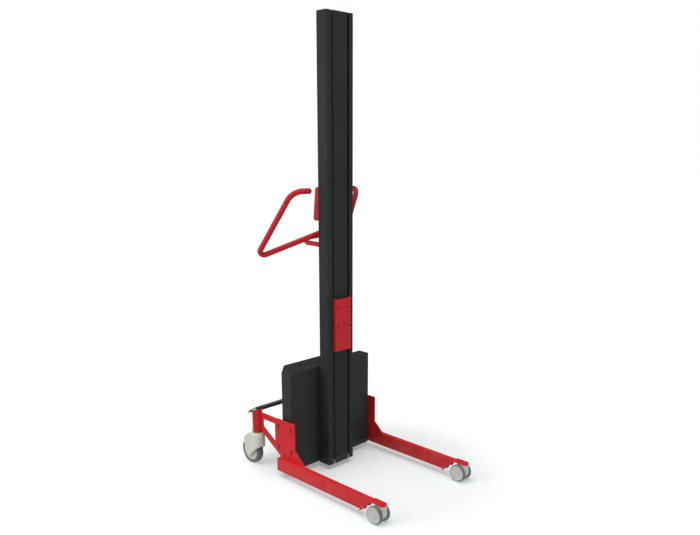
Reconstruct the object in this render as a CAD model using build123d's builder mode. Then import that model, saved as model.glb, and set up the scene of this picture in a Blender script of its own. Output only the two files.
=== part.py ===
from build123d import *
import math
import os

os.makedirs("parts", exist_ok=True)

# ---------------------------------------------------------------------------
# Mini stacker. Millimetres, +Z up, floor at Z = 0, the legs point to -Y,
# X = 0 is the plane of symmetry. Depths called d are measured from the front
# face of the mast, backwards positive; fy() turns them into Y.
# ---------------------------------------------------------------------------
mast_front_y = 66.75

# mast
mast_half_w = 77.0
mast_depth = 56.5
mast_wall = 5.0
mast_corner = 11.0
mast_z0 = 27.0
mast_z1 = 1916.0
slot_in = 40.5           # mast slots between these two half widths
slot_out = 48.5
cap_t = 3.0
foot_top = 60.0

# legs and side plates
leg_in = 250.5
leg_out = 275.5
leg_z0 = 26.5
leg_z1 = 85.5
leg_rear = 124.0
cut_top = (-447.0, 85.5)     # slanted front end of the leg, (d, z)
cut_bot = (-383.12, 26.5)
plate_in = 248.5
plate_out = 254.5
clip_d = 51.5            # open slots near the front edge of the side plates
tab_front = 69.2
tab_rear = 136.3
tab_z = (125.5, 225.5)
tab_h = 21.0
cross_t = 8.0

# housing
house_half_w = 241.2
house_front = 63.0
house_split = 122.0
house_back = 187.0
house_z0 = 28.6
house_z1 = 474.5
sheet = 2.0

# front castors
fc_x = 264.0
fc_swivel = -493.0
fc_axle = -472.0
fc_r = 37.5
fc_in = 14.0
fc_out = 29.0
fc_disc_r = 33.2
tongue_z0 = 79.5
tongue_z1 = 86.5
tongue_r = 17.0

# rear castors
rc_x = 256.0
rc_swivel = 282.0
rc_axle = 322.0
rc_r = 60.0
rc_w = 32.0
rc_hub_r = 45.0
socket_r = 22.5
socket_z0 = 161.0
socket_z1 = 268.0
stem_r = 15.0
stem_top = 254.0
clamp_z = 180.0
bar_z = 267.0
bar_r = 10.0
bar_half = 304.0

# carriage, rest position
car_z0 = 552.0
car_z1 = 781.0
car_front = -17.0
car_half_w = 45.2
car_t = 4.0
car_hole_x = 34.0
car_hole_z = (658.0, 740.0)
car_hole_r = 4.5

# lift drive
belt_d0, belt_d1 = 24.0, 40.0
drive_z = 230.0
idler_z = 1868.0
pulley_r = 25.0
belt_t = 2.8

# handle and control box
tube_r = 12.0
bracket_r = 10.5
panel_z0, panel_z1 = 1107.0, 1246.0


def fy(d):
    return mast_front_y + d


def block(x0, x1, d0, d1, z0, z1, mode=Mode.ADD):
    """A box from its corners, with the depths measured from the mast face."""
    with Locations(((x0 + x1) / 2, fy((d0 + d1) / 2), (z0 + z1) / 2)):
        Box(abs(x1 - x0), abs(d1 - d0), abs(z1 - z0), mode=mode)


def rod_y(x, d0, d1, z, r, mode=Mode.ADD):
    """A round bar along Y."""
    with Locations((x, fy((d0 + d1) / 2), z)):
        Cylinder(r, abs(d1 - d0), rotation=(90, 0, 0), mode=mode)


def rod_x(x0, x1, d, z, r, mode=Mode.ADD):
    """A round bar along X."""
    with Locations(((x0 + x1) / 2, fy(d), z)):
        Cylinder(r, abs(x1 - x0), rotation=(0, 90, 0), mode=mode)


def rod_z(x, d, z0, z1, r, mode=Mode.ADD):
    """A round bar along Z."""
    with Locations((x, fy(d), (z0 + z1) / 2)):
        Cylinder(r, abs(z1 - z0), mode=mode)


def pts(points):
    """Side view outline, (d, z) pairs as (Y, Z)."""
    return [(fy(d), z) for d, z in points]


def bent_path(points, radii):
    """Straight runs joined by tangent arcs: list of (kind, point, point, ...)."""
    v = [Vector(*p) for p in points]
    runs, start = [], v[0]
    for i in range(1, len(v) - 1):
        a = (v[i - 1] - v[i]).normalized()
        b = (v[i + 1] - v[i]).normalized()
        half = math.acos(max(-1.0, min(1.0, a.dot(b)))) / 2
        t = radii[i - 1] / math.tan(half)
        p1, p2 = v[i] + a * t, v[i] + b * t
        bis = (a + b).normalized()
        mid = v[i] + bis * (radii[i - 1] / math.sin(half) - radii[i - 1])
        runs.append(("line", start, p1))
        runs.append(("arc", p1, mid, p2))
        start = p2
    runs.append(("line", start, v[-1]))
    return runs


# ---------------------------------------------------------------------------
# Base: legs
# ---------------------------------------------------------------------------
cut_dir = Vector(0, cut_top[0] - cut_bot[0], cut_top[1] - cut_bot[1]).normalized()
cut_out = Vector(0, -cut_dir.Z, cut_dir.Y)            # points forward and down
flange_t = 4.0
screw_z = (41.0, 63.0)


def on_cut(z):
    """Depth of the slanted leg end at a height."""
    k = (z - cut_bot[1]) / (cut_top[1] - cut_bot[1])
    return cut_bot[0] + k * (cut_top[0] - cut_bot[0])


def screw_plane(x, z, out):
    o = Vector(x, fy(on_cut(z)), z) + cut_out * out
    return Plane(origin=o, x_dir=(1, 0, 0), z_dir=cut_out)


with BuildPart() as leg_left:
    with BuildSketch(Plane.YZ.offset(-leg_out)):
        with BuildLine():
            Polyline(*pts([(leg_rear, leg_z0), (leg_rear, leg_z1), cut_top, cut_bot]), close=True)
        make_face()
    extrude(amount=leg_out - leg_in)
    fillet(leg_left.edges().filter_by(Axis.Y), 3.0)
    # hollow, with a closed rear end and a solid block behind the slanted face
    with BuildSketch(Plane.YZ.offset(-leg_out + 3)):
        with BuildLine():
            Polyline(
                *pts([(leg_rear - 3, leg_z0 + 3), (leg_rear - 3, leg_z1 - 3),
                      (on_cut(leg_z1 - 3) + 18, leg_z1 - 3), (on_cut(leg_z0 + 3) + 18, leg_z0 + 3)]),
                close=True)
        make_face()
    extrude(amount=leg_out - leg_in - 6, mode=Mode.SUBTRACT)
    # seat of the nose tongue
    block(-leg_out - 5, -leg_in + 5, -520, -440, tongue_z0, leg_z1 + 5, mode=Mode.SUBTRACT)
    for z in screw_z:
        with Locations(screw_plane(-fc_x, z, 0).location):
            Cylinder(4.0, 24, mode=Mode.SUBTRACT)
leg_left.part.label = "leg_left"
export_step(leg_left.part, "parts/leg_left.step")

with BuildPart() as leg_right:
    mirror(leg_left.part, about=Plane.YZ)
leg_right.part.label = "leg_right"
export_step(leg_right.part, "parts/leg_right.step")

# nose bracket: flat tongue for the castor stem, and the slanted flange on the leg end
with BuildPart() as castor_bracket_left:
    with BuildSketch(Plane.XY.offset(tongue_z0)):
        with Locations((-fc_x, fy((fc_swivel - 440) / 2))):
            Rectangle(2 * tongue_r, -440 - fc_swivel)
        with Locations((-fc_x, fy(fc_swivel))):
            Circle(tongue_r)
    extrude(amount=tongue_z1 - tongue_z0)
    fillet(castor_bracket_left.faces().sort_by(Axis.Z)[-1].edges(), 2.0)
    b = (on_cut(19.5), 19.5)
    t = (on_cut(84.0), 84.0)
    off = (cut_out.Y * flange_t, cut_out.Z * flange_t)
    with BuildSketch(Plane.YZ.offset(-leg_out)):
        with BuildLine():
            Polyline(*pts([b, t, (t[0] + off[0], t[1] + off[1]), (b[0] + off[0], b[1] + off[1])]), close=True)
        make_face()
    extrude(amount=leg_out - leg_in)
    rod_z(-fc_x, fc_swivel, tongue_z0 - 1, 84.8, 5.5, mode=Mode.SUBTRACT)
    for z in screw_z:
        with Locations(screw_plane(-fc_x, z, 0).location):
            Cylinder(4.0, 24, mode=Mode.SUBTRACT)
castor_bracket_left.part.label = "castor_bracket_left"
export_step(castor_bracket_left.part, "parts/castor_bracket_left.step")

with BuildPart() as castor_bracket_right:
    mirror(castor_bracket_left.part, about=Plane.YZ)
castor_bracket_right.part.label = "castor_bracket_right"
export_step(castor_bracket_right.part, "parts/castor_bracket_right.step")

# ---------------------------------------------------------------------------
# Base: side plates, rear castor sockets, cross plates
# ---------------------------------------------------------------------------
with BuildPart() as side_plate_left:
    with BuildSketch(Plane.YZ.offset(-plate_out)):
        with BuildLine():
            Polyline(
                *pts([(30.5, 138.5), (30.5, 260.0), (146.0, 258.0), (150.0, 256.5), (290.0, 256.5), (290.0, 166.5), (251.8, 166.5),
                      (122.0, leg_z1), (-30.0, leg_z1)]),
                close=True)
        make_face()
    extrude(amount=plate_out - plate_in)
    # window between the two arms
    with BuildSketch(Plane.YZ.offset(-plate_out - 1)) as window:
        with BuildLine():
            Polyline(*pts([(160.0, 230.0), (245.0, 230.0), (245.0, 194.5), (159.5, 142.0)]), close=True)
        make_face()
        fillet(window.vertices(), 3.0)
    extrude(amount=plate_out - plate_in + 2, mode=Mode.SUBTRACT)
    rod_z(-rc_x, rc_swivel, 100, 300, socket_r, mode=Mode.SUBTRACT)
    for d in (clip_d, tab_rear):
        for z in tab_z:
            block(-plate_out - 1, -plate_in + 1, d - cross_t / 2 - 0.1, d + cross_t / 2 + 0.1,
                  z - tab_h / 2 - 0.1, z + tab_h / 2 + 0.1, mode=Mode.SUBTRACT)
    corner = side_plate_left.edges().filter_by(Axis.X).sort_by_distance((-plate_out, fy(30.5), 260.0))[0]
    fillet(corner, 5.0)
side_plate_left.part.label = "side_plate_left"
export_step(side_plate_left.part, "parts/side_plate_left.step")

with BuildPart() as side_plate_right:
    mirror(side_plate_left.part, about=Plane.YZ)
side_plate_right.part.label = "side_plate_right"
export_step(side_plate_right.part, "parts/side_plate_right.step")

with BuildPart() as castor_socket_left:
    rod_z(-rc_x, rc_swivel, socket_z0, socket_z1, socket_r)
    fillet(castor_socket_left.edges().filter_by(GeomType.CIRCLE), 1.5)
    rod_z(-rc_x, rc_swivel, socket_z0 - 5, socket_z1 + 5, stem_r + 0.02, mode=Mode.SUBTRACT)
    rod_x(-rc_x - 40, -rc_x + 40, rc_swivel, bar_z, bar_r + 0.08, mode=Mode.SUBTRACT)
    # threaded hole of the clamping screw, low on the outer side
    rod_x(-rc_x - 40, -rc_x, rc_swivel, clamp_z, 4.0, mode=Mode.SUBTRACT)
castor_socket_left.part.label = "castor_socket_left"
export_step(castor_socket_left.part, "parts/castor_socket_left.step")

with BuildPart() as castor_socket_right:
    mirror(castor_socket_left.part, about=Plane.YZ)
castor_socket_right.part.label = "castor_socket_right"
export_step(castor_socket_right.part, "parts/castor_socket_right.step")

mast_bolt_x = 55.0
mast_bolt_z = (120.0, 330.0, 425.0)
tower_half_w = 110.0

with BuildPart() as front_cross_plate:
    block(-plate_in, plate_in, tab_front - cross_t / 2, tab_front + cross_t / 2, 105, 245)
    block(-tower_half_w, tower_half_w, tab_front - cross_t / 2, tab_front + cross_t / 2, 240, 445)
    rod_y(0, 60, 80, drive_z, 12.0, mode=Mode.SUBTRACT)
    for x in (-mast_bolt_x, mast_bolt_x):
        for z in mast_bolt_z:
            rod_y(x, 60, 80, z, 4.1, mode=Mode.SUBTRACT)
front_cross_plate.part.label = "front_cross_plate"
export_step(front_cross_plate.part, "parts/front_cross_plate.step")

with BuildPart() as rear_cross_plate:
    block(-plate_in, plate_in, tab_rear - cross_t / 2, tab_rear + cross_t / 2, 105, 245)
    for z in tab_z:
        block(-plate_out + 2, plate_out - 2, tab_rear - cross_t / 2, tab_rear + cross_t / 2,
              z - tab_h / 2, z + tab_h / 2)
rear_cross_plate.part.label = "rear_cross_plate"
export_step(rear_cross_plate.part, "parts/rear_cross_plate.step")

# ---------------------------------------------------------------------------
# Housing covers
# ---------------------------------------------------------------------------
with BuildPart() as housing_front_cover:
    block(-house_half_w, house_half_w, house_front, house_split, house_z0, house_z1)
    fillet(housing_front_cover.edges().filter_by(Axis.Z).group_by(Axis.Y)[0], 5.0)
    fillet(housing_front_cover.faces().sort_by(Axis.Y)[0].edges().sort_by(Axis.Z)[-1], 2.0)
    block(-house_half_w + sheet, house_half_w - sheet, house_front + sheet, house_split + 5,
          house_z0 - 5, house_z1 - sheet, mode=Mode.SUBTRACT)
    # strip that closes the back beside the rear cover
    block(195.5, house_half_w - sheet, house_split - sheet, house_split, house_z0, house_z1 - sheet)
    # side cut-outs behind the side plates, open to the rear
    block(-house_half_w - 5, -200, house_front + sheet + 0.1, house_split + 5, 102, 248, mode=Mode.SUBTRACT)
    block(200, house_half_w + 5, house_front + sheet + 0.1, house_split + 5, 102, 248, mode=Mode.SUBTRACT)
    # vent slot low on the front
    block(169, 215, house_front - 5, house_front + 5, 60, 64.5, mode=Mode.SUBTRACT)
    rod_y(0, 55, 70, drive_z, 12.0, mode=Mode.SUBTRACT)
    for x in (-mast_bolt_x, mast_bolt_x):
        for z in mast_bolt_z:
            rod_y(x, 55, 70, z, 4.1, mode=Mode.SUBTRACT)
housing_front_cover.part.label = "housing_front_cover"
export_step(housing_front_cover.part, "parts/housing_front_cover.step")

rear_left = house_half_w - 2.5
rear_outline = [(-rear_left, house_split), (-172.0, house_back), (172.0, house_back), (195.0, 164.0), (195.0, house_split)]
with BuildPart() as housing_rear_cover:
    with BuildSketch(Plane.XY.offset(house_z0)):
        with BuildLine():
            Polyline(*[(x, fy(d)) for x, d in rear_outline], close=True)
        make_face()
    extrude(amount=house_z1 - house_z0)
    with BuildSketch(Plane.XY.offset(house_z0 - 5)):
        with BuildLine():
            Polyline((-rear_left + 2.83, fy(house_split - 5)), (-rear_left + 2.83, fy(house_split)),
                     (-172.0 + 0.83, fy(house_back - sheet)), (172.0 - 0.83, fy(house_back - sheet)),
                     (193.0, fy(163.2)), (193.0, fy(house_split - 5)), close=True)
        make_face()
    extrude(amount=house_z1 - house_z0 + 5 - sheet, mode=Mode.SUBTRACT)
    fillet(housing_rear_cover.edges().filter_by(Axis.Z).group_by(Axis.Y)[-1], 4.0)
    # notches where the rear cross plate comes out, open to the front
    block(-245, -190, house_split - 5, tab_rear + cross_t / 2 + 1, 103, 247, mode=Mode.SUBTRACT)
    block(190, 245, house_split - 5, tab_rear + cross_t / 2 + 1, 103, 247, mode=Mode.SUBTRACT)
    # vent slot in the top
    block(-131, -105, 132, 139, house_z1 - 10, house_z1 + 5, mode=Mode.SUBTRACT)
    # hole of the charge inlet
    block(84, 116, house_back - 10, house_back + 5, 106, 134, mode=Mode.SUBTRACT)
housing_rear_cover.part.label = "housing_rear_cover"
export_step(housing_rear_cover.part, "parts/housing_rear_cover.step")

# ---------------------------------------------------------------------------
# Inside the housing
# ---------------------------------------------------------------------------
plate_back = tab_front + cross_t / 2
with BuildPart() as battery_tray:
    block(-165, 165, plate_back, 142, 33, 36)
    block(-165, 165, plate_back, plate_back + 3, 33, 140)
    for x in (-mast_bolt_x, mast_bolt_x):
        block(x - 12, x + 12, plate_back - 1, plate_back + 5, 105, 145, mode=Mode.SUBTRACT)
battery_tray.part.label = "battery_tray"
export_step(battery_tray.part, "parts/battery_tray.step")

with BuildPart() as battery_pack:
    for s in (-1, 1):
        block(s * 6, s * 157, plate_back + 5.8, plate_back + 58.0, 36, 126)
        for t in (20, 140):
            block(s * (6 + t - 5), s * (6 + t + 5), plate_back + 15, plate_back + 25, 126, 132)
battery_pack.part.label = "battery_pack"
export_step(battery_pack.part, "parts/battery_pack.step")

with BuildPart() as motor_controller:
    block(-105, -62, plate_back, plate_back + 30, 260, 400)
    for i in range(6):
        block(-110 + 8 + i * 7, -110 + 11 + i * 7, plate_back + 30, plate_back + 36, 265, 395)
motor_controller.part.label = "motor_controller"
export_step(motor_controller.part, "parts/motor_controller.step")

with BuildPart() as gearbox:
    block(-44, 44, plate_back, 128, 186, 292)
    fillet(gearbox.edges().filter_by(Axis.Y), 10.0)
    rod_y(0, plate_back - 1, 108, drive_z, 10.05, mode=Mode.SUBTRACT)
    # motor flange
    rod_x(40, 52, 102, 262, 28)
gearbox.part.label = "gearbox"
export_step(gearbox.part, "parts/gearbox.step")

with BuildPart() as lift_motor:
    rod_x(52, 165, 102, 262, 27.5)
    fillet(lift_motor.edges().filter_by(GeomType.CIRCLE).sort_by(Axis.X)[-1], 4.0)
    rod_x(165, 172, 102, 262, 12)
lift_motor.part.label = "lift_motor"
export_step(lift_motor.part, "parts/lift_motor.step")

with BuildPart() as charge_inlet:
    block(78, 122, house_back, house_back + 4, 100, 140)
    fillet(charge_inlet.edges().filter_by(Axis.Y), 6.0)
    block(84.3, 115.7, house_back - 22, house_back + 1, 106.3, 133.7)
    rod_y(100, house_back - 16, house_back + 6, 120, 10, mode=Mode.SUBTRACT)
    for x in (96, 104):
        rod_y(x, house_back - 18, house_back - 2, 120, 1.8)
charge_inlet.part.label = "charge_inlet"
export_step(charge_inlet.part, "parts/charge_inlet.step")

# ---------------------------------------------------------------------------
# Mast
# ---------------------------------------------------------------------------
with BuildPart() as mast_profile:
    with BuildSketch(Plane.XY.offset(mast_z0)) as mast_section:
        with Locations((0, fy(mast_depth / 2))):
            Rectangle(2 * mast_half_w, mast_depth)
        fillet(mast_section.vertices().group_by(Axis.Y)[0], mast_corner)
        fillet(mast_section.vertices().group_by(Axis.Y)[-1], 3.0)
        with Locations((0, fy(mast_depth / 2))):
            Rectangle(2 * (mast_half_w - mast_wall), mast_depth - 2 * mast_wall, mode=Mode.SUBTRACT)
        with Locations((0, fy(mast_wall / 2))):
            Rectangle(2 * slot_out, mast_wall + 2, mode=Mode.SUBTRACT)
        # the rounded front corners keep their wall
        with Locations((-mast_half_w + mast_wall + 2, fy(mast_wall + 2)), (mast_half_w - mast_wall - 2, fy(mast_wall + 2))):
            Rectangle(4, 4)
    extrude(amount=mast_z1 - mast_z0)
    rod_y(0, 45, 60, drive_z, 12.0, mode=Mode.SUBTRACT)
    rod_y(0, 45, 60, idler_z, 6.03, mode=Mode.SUBTRACT)
    for x in (-mast_bolt_x, mast_bolt_x):
        for z in mast_bolt_z:
            rod_y(x, 45, 60, z, 4.0, mode=Mode.SUBTRACT)
mast_profile.part.label = "mast_profile"
export_step(mast_profile.part, "parts/mast_profile.step")

with BuildPart() as mast_front_strip:
    with BuildSketch(Plane.XY.offset(mast_z0)) as strip_section:
        with Locations((0, fy(5.5))):
            Rectangle(2 * slot_in, 11)
        fillet(strip_section.vertices().group_by(Axis.Y)[0], 3.5)
        with Locations((0, fy(3 + 5))):
            Rectangle(2 * (slot_in - 3), 10, mode=Mode.SUBTRACT)
    extrude(amount=mast_z1 - mast_z0)
mast_front_strip.part.label = "mast_front_strip"
export_step(mast_front_strip.part, "parts/mast_front_strip.step")

with BuildPart() as mast_top_cap:
    with BuildSketch(Plane.XY.offset(mast_z1)) as cap_outline:
        with Locations((0, fy(mast_depth / 2))):
            Rectangle(2 * mast_half_w, mast_depth)
        fillet(cap_outline.vertices().group_by(Axis.Y)[0], mast_corner)
        fillet(cap_outline.vertices().group_by(Axis.Y)[-1], 3.0)
        for x in (-1, 1):
            with Locations((x * (slot_in + slot_out) / 2, fy(20))):
                Rectangle(slot_out - slot_in, 42, mode=Mode.SUBTRACT)
    extrude(amount=cap_t)
    block(-37, 37, 3.5, 51.2, 1902, mast_z1)
mast_top_cap.part.label = "mast_top_cap"
export_step(mast_top_cap.part, "parts/mast_top_cap.step")

with BuildPart() as mast_foot_cap:
    with BuildSketch(Plane.XY.offset(mast_z0 - cap_t)) as foot_outline:
        with Locations((0, fy((house_front - 1.8) / 2))):
            Rectangle(2 * mast_half_w + 3, house_front + 1.2)
        fillet(foot_outline.vertices().group_by(Axis.Y)[0], mast_corner + 1)
    extrude(amount=foot_top - mast_z0 + cap_t)
    with BuildSketch(Plane.XY.offset(mast_z0)) as foot_pocket:
        with Locations((0, fy(mast_depth / 2))):
            Rectangle(2 * mast_half_w + 0.1, mast_depth + 0.1)
        fillet(foot_pocket.vertices().group_by(Axis.Y)[0], mast_corner)
        fillet(foot_pocket.vertices().group_by(Axis.Y)[-1], 3.0)
    extrude(amount=foot_top, mode=Mode.SUBTRACT)
    for x in (-1, 1):
        block(x * slot_in, x * slot_out, -5, 41, 20, foot_top + 5, mode=Mode.SUBTRACT)
    block(-37, 37, 3.5, 51.2, mast_z0 - 1, foot_top - 2)
mast_foot_cap.part.label = "mast_foot_cap"
export_step(mast_foot_cap.part, "parts/mast_foot_cap.step")

with BuildPart() as mast_spacer:
    block(-mast_half_w, mast_half_w, mast_depth, house_front, foot_top + 1, 455)
    rod_y(0, 50, 70, drive_z, 12.0, mode=Mode.SUBTRACT)
    for x in (-mast_bolt_x, mast_bolt_x):
        for z in mast_bolt_z:
            rod_y(x, 50, 70, z, 4.1, mode=Mode.SUBTRACT)
mast_spacer.part.label = "mast_spacer"
export_step(mast_spacer.part, "parts/mast_spacer.step")

# screws of the frame: nose brackets, castor clamps, mast bolts
with BuildPart() as frame_screws:
    for s in (-1, 1):
        for z in screw_z:
            with Locations(screw_plane(s * fc_x, z, flange_t + 2.0).location):
                Cylinder(6.2, 4.0)
            with Locations(screw_plane(s * fc_x, z, (flange_t - 8) / 2).location):
                Cylinder(3.9, flange_t + 8)
        rod_x(s * (rc_x + 18), s * (rc_x + 23.5), rc_swivel, clamp_z, 3.9)
        rod_x(s * (rc_x + 22.6), s * (rc_x + 28), rc_swivel, clamp_z, 6.5)
        for z in mast_bolt_z:
            rod_y(s * mast_bolt_x, 52, plate_back, z, 3.9)
            rod_y(s * mast_bolt_x, plate_back, plate_back + 5.5, z, 6.5)
frame_screws.part.label = "frame_screws"
export_step(frame_screws.part, "parts/frame_screws.step")

# ---------------------------------------------------------------------------
# Lift drive in the mast
# ---------------------------------------------------------------------------
belt_mid_z = (drive_z + idler_z) / 2
belt_len = idler_z - drive_z
belt_plane = Plane(origin=(0, fy(belt_d0), belt_mid_z), x_dir=(0, 0, 1), z_dir=(0, 1, 0))
with BuildPart() as drive_belt:
    with BuildSketch(belt_plane):
        SlotCenterToCenter(belt_len, 2 * (pulley_r + 0.3 + belt_t))
        SlotCenterToCenter(belt_len, 2 * (pulley_r + 0.3), mode=Mode.SUBTRACT)
    extrude(amount=belt_d1 - belt_d0)
drive_belt.part.label = "drive_belt"
export_step(drive_belt.part, "parts/drive_belt.step")

with BuildPart() as drive_pulley:
    rod_y(0, belt_d0 - 0.3, belt_d1 + 0.3, drive_z, pulley_r)
    rod_y(0, belt_d0 - 1.6, belt_d0 - 0.3, drive_z, pulley_r + 5)
    rod_y(0, belt_d1 + 0.3, belt_d1 + 1.6, drive_z, pulley_r + 5)
    rod_y(0, belt_d1, 107, drive_z, 10.0)
drive_pulley.part.label = "drive_pulley"
export_step(drive_pulley.part, "parts/drive_pulley.step")

with BuildPart() as idler_pulley:
    rod_y(0, belt_d0 - 0.3, belt_d1 + 0.3, idler_z, pulley_r)
    rod_y(0, belt_d0 - 1.6, belt_d0 - 0.3, idler_z, pulley_r + 5)
    rod_y(0, belt_d1 + 0.3, belt_d1 + 1.6, idler_z, pulley_r + 5)
    rod_y(0, 10, 50, idler_z, 6.05, mode=Mode.SUBTRACT)
idler_pulley.part.label = "idler_pulley"
export_step(idler_pulley.part, "parts/idler_pulley.step")

with BuildPart() as idler_pin:
    rod_y(0, 19, mast_depth, idler_z, 6.0)
    rod_y(0, 17, 20.5, idler_z, 9.0)
    rod_y(0, 43, mast_depth - mast_wall, idler_z, 9.0)
idler_pin.part.label = "idler_pin"
export_step(idler_pin.part, "parts/idler_pin.step")

# ---------------------------------------------------------------------------
# Carriage
# ---------------------------------------------------------------------------
with BuildPart() as carriage_plate:
    with BuildSketch(Plane.XY.offset(car_z0)) as car_section:
        with Locations((0, fy((car_front + 42) / 2))):
            Rectangle(2 * car_half_w, 42 - car_front)
        fillet(car_section.vertices().group_by(Axis.Y)[0], 6.0)
        with Locations((0, fy((car_front + car_t + 50) / 2))):
            Rectangle(2 * (car_half_w - car_t), 50 - car_front - car_t, mode=Mode.SUBTRACT)
    extrude(amount=car_z1 - car_z0)
    for x in (-car_hole_x, car_hole_x):
        for z in car_hole_z:
            rod_y(x, car_front - 2, car_front + 8, z, car_hole_r, mode=Mode.SUBTRACT)
carriage_plate.part.label = "carriage_plate"
export_step(carriage_plate.part, "parts/carriage_plate.step")

clamp_z0, clamp_z1 = 728.0, 770.0
with BuildPart() as carriage_bridge:
    block(-car_half_w + car_t, car_half_w - car_t, 14, 20, 640, 775)
    strand_in, strand_out = pulley_r + 0.3, pulley_r + 0.3 + belt_t
    block(-strand_out - 0.4 - 8, -strand_out - 0.4, 19, 41, clamp_z0, clamp_z1)
    block(-strand_in + 0.4, -strand_in + 0.4 + 8, 19, 41, clamp_z0, clamp_z1)
carriage_bridge.part.label = "carriage_bridge"
export_step(carriage_bridge.part, "parts/carriage_bridge.step")

with BuildPart() as carriage_guides:
    for s in (-1, 1):
        for z in (560, 730):
            block(s * car_half_w, s * (mast_half_w - mast_wall - 4.4), mast_wall + 0.3, mast_depth - mast_wall - 0.3, z, z + 42)
carriage_guides.part.label = "carriage_guides"
export_step(carriage_guides.part, "parts/carriage_guides.step")

# ---------------------------------------------------------------------------
# Handle
# ---------------------------------------------------------------------------
h_end = (117.7, 65.7, 1233.0)
h_top = (188.0, 87.5, 1233.4)
h_low = (253.0, 258.8, 949.7)
h_mid = (0.0, 85.0, 1064.4)
handle_points = [(-h_end[0], fy(h_end[1]), h_end[2]), (-h_top[0], fy(h_top[1]), h_top[2]),
                 (-h_low[0], fy(h_low[1]), h_low[2]), (h_mid[0], fy(h_mid[1]), h_mid[2]),
                 (h_low[0], fy(h_low[1]), h_low[2]), (h_top[0], fy(h_top[1]), h_top[2]),
                 (h_end[0], fy(h_end[1]), h_end[2])]
handle_runs = bent_path(handle_points, [62, 19.5, 25, 19.5, 62])
with BuildPart() as handle_tube:
    with BuildLine() as handle_line:
        for run in handle_runs:
            if run[0] == "line":
                Line(run[1], run[2])
            else:
                ThreePointArc(run[1], run[2], run[3])
    with BuildSketch(Plane(origin=handle_line.line @ 0, z_dir=handle_line.line % 0)):
        Circle(tube_r)
        Circle(tube_r - 2.0, mode=Mode.SUBTRACT)
    sweep()
handle_tube.part.label = "handle_tube"
export_step(handle_tube.part, "parts/handle_tube.step")

# round plugs in the two open tube ends, with a chamfered head and a small nub
end_dir = (Vector(*handle_points[0]) - Vector(*handle_points[1])).normalized()
with BuildPart() as handle_end_plugs:
    for s in (-1, 1):
        o = Vector(s * h_end[0], fy(h_end[1]), h_end[2])
        zd = Vector(-s * end_dir.X, end_dir.Y, end_dir.Z) if s > 0 else end_dir
        with BuildSketch(Plane(origin=o, z_dir=zd)):
            Circle(tube_r)
        extrude(amount=3.5)
        with BuildSketch(Plane(origin=o + zd * 3.5, z_dir=zd)):
            Circle(tube_r)
        extrude(amount=4.0, taper=40)
        with BuildSketch(Plane(origin=o + zd * 7.5, z_dir=zd)):
            Circle(4.5)
        extrude(amount=3.0)
        with BuildSketch(Plane(origin=o, z_dir=zd)):
            Circle(tube_r - 2.0)
        extrude(amount=-18.0)
handle_end_plugs.part.label = "handle_end_plugs"
export_step(handle_end_plugs.part, "parts/handle_end_plugs.step")

bracket_runs = bent_path([(0, fy(mast_depth), 995.0), (0, fy(313.3), 1001.9), (0, fy(mast_depth), 1052.0)], [11.5])
with BuildPart() as handle_bracket:
    with BuildLine() as bracket_line:
        for run in bracket_runs:
            if run[0] == "line":
                Line(run[1], run[2])
            else:
                ThreePointArc(run[1], run[2], run[3])
    with BuildSketch(Plane(origin=bracket_line.line @ 0, z_dir=bracket_line.line % 0)):
        Circle(bracket_r)
    sweep()
    block(-30, 30, mast_depth, mast_depth + 5, 970, 1104)
    # cut square at the mast and coped round the handle tube
    block(-60, 60, 0, mast_depth, 900, 1150, mode=Mode.SUBTRACT)
    with BuildLine() as cope_line:
        for run in handle_runs[4:9]:
            if run[0] == "line":
                Line(run[1], run[2])
            else:
                ThreePointArc(run[1], run[2], run[3])
    with BuildSketch(Plane(origin=cope_line.line @ 0, z_dir=cope_line.line % 0)):
        Circle(tube_r + 0.06)
    sweep(path=cope_line.line, mode=Mode.SUBTRACT)
handle_bracket.part.label = "handle_bracket"
export_step(handle_bracket.part, "parts/handle_bracket.step")

# ---------------------------------------------------------------------------
# Control box on the back of the mast, with the panel that faces the user
# ---------------------------------------------------------------------------
box_back = 102.0
rocker_z, rocker_x, rocker_d = 1165.0, -21.0, 94.0
stop_z, stop_x = 1180.0, 22.0
with BuildPart() as control_box:
    with BuildSketch(Plane.XZ.offset(-fy(mast_depth + 0.1))) as box_outline:
        with BuildLine():
            Polyline((-66, panel_z0), (66, panel_z0), (54, panel_z1), (-54, panel_z1), close=True)
        make_face()
        fillet(box_outline.vertices(), 12.0)
    extrude(amount=-(box_back - mast_depth - 0.1))
    fillet(control_box.faces().sort_by(Axis.Y)[-1].edges(), 6.0)
    fillet(control_box.faces().sort_by(Axis.Y)[0].edges(), 3.0)
    # hollow, open behind the panel
    block(-41.5, 41.5, mast_depth + 3, box_back + 5, panel_z0 + 24, panel_z1 - 24, mode=Mode.SUBTRACT)
control_box.part.label = "control_box"
export_step(control_box.part, "parts/control_box.step")

with BuildPart() as control_panel:
    with BuildSketch(Plane.XZ.offset(-fy(box_back))) as panel_outline:
        with Locations((0, (panel_z0 + panel_z1) / 2)):
            Rectangle(87, 98)
        fillet(panel_outline.vertices(), 6.0)
    extrude(amount=-2.0)
    block(rocker_x - 14.6, rocker_x + 14.6, box_back - 5, box_back + 5, rocker_z - 24.6, rocker_z + 24.6, mode=Mode.SUBTRACT)
    rod_y(stop_x, box_back - 5, box_back + 5, stop_z, 8.1, mode=Mode.SUBTRACT)
    # two lugs that hold the pivot pins of the rocker
    for s in (-1, 1):
        block(rocker_x + s * 14.9, rocker_x + s * 19, box_back - 14, box_back + 0.5, rocker_z - 6, rocker_z + 6)
    rod_x(rocker_x - 25, rocker_x + 25, rocker_d, rocker_z, 3.05, mode=Mode.SUBTRACT)
control_panel.part.label = "control_panel"
export_step(control_panel.part, "parts/control_panel.step")

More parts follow.
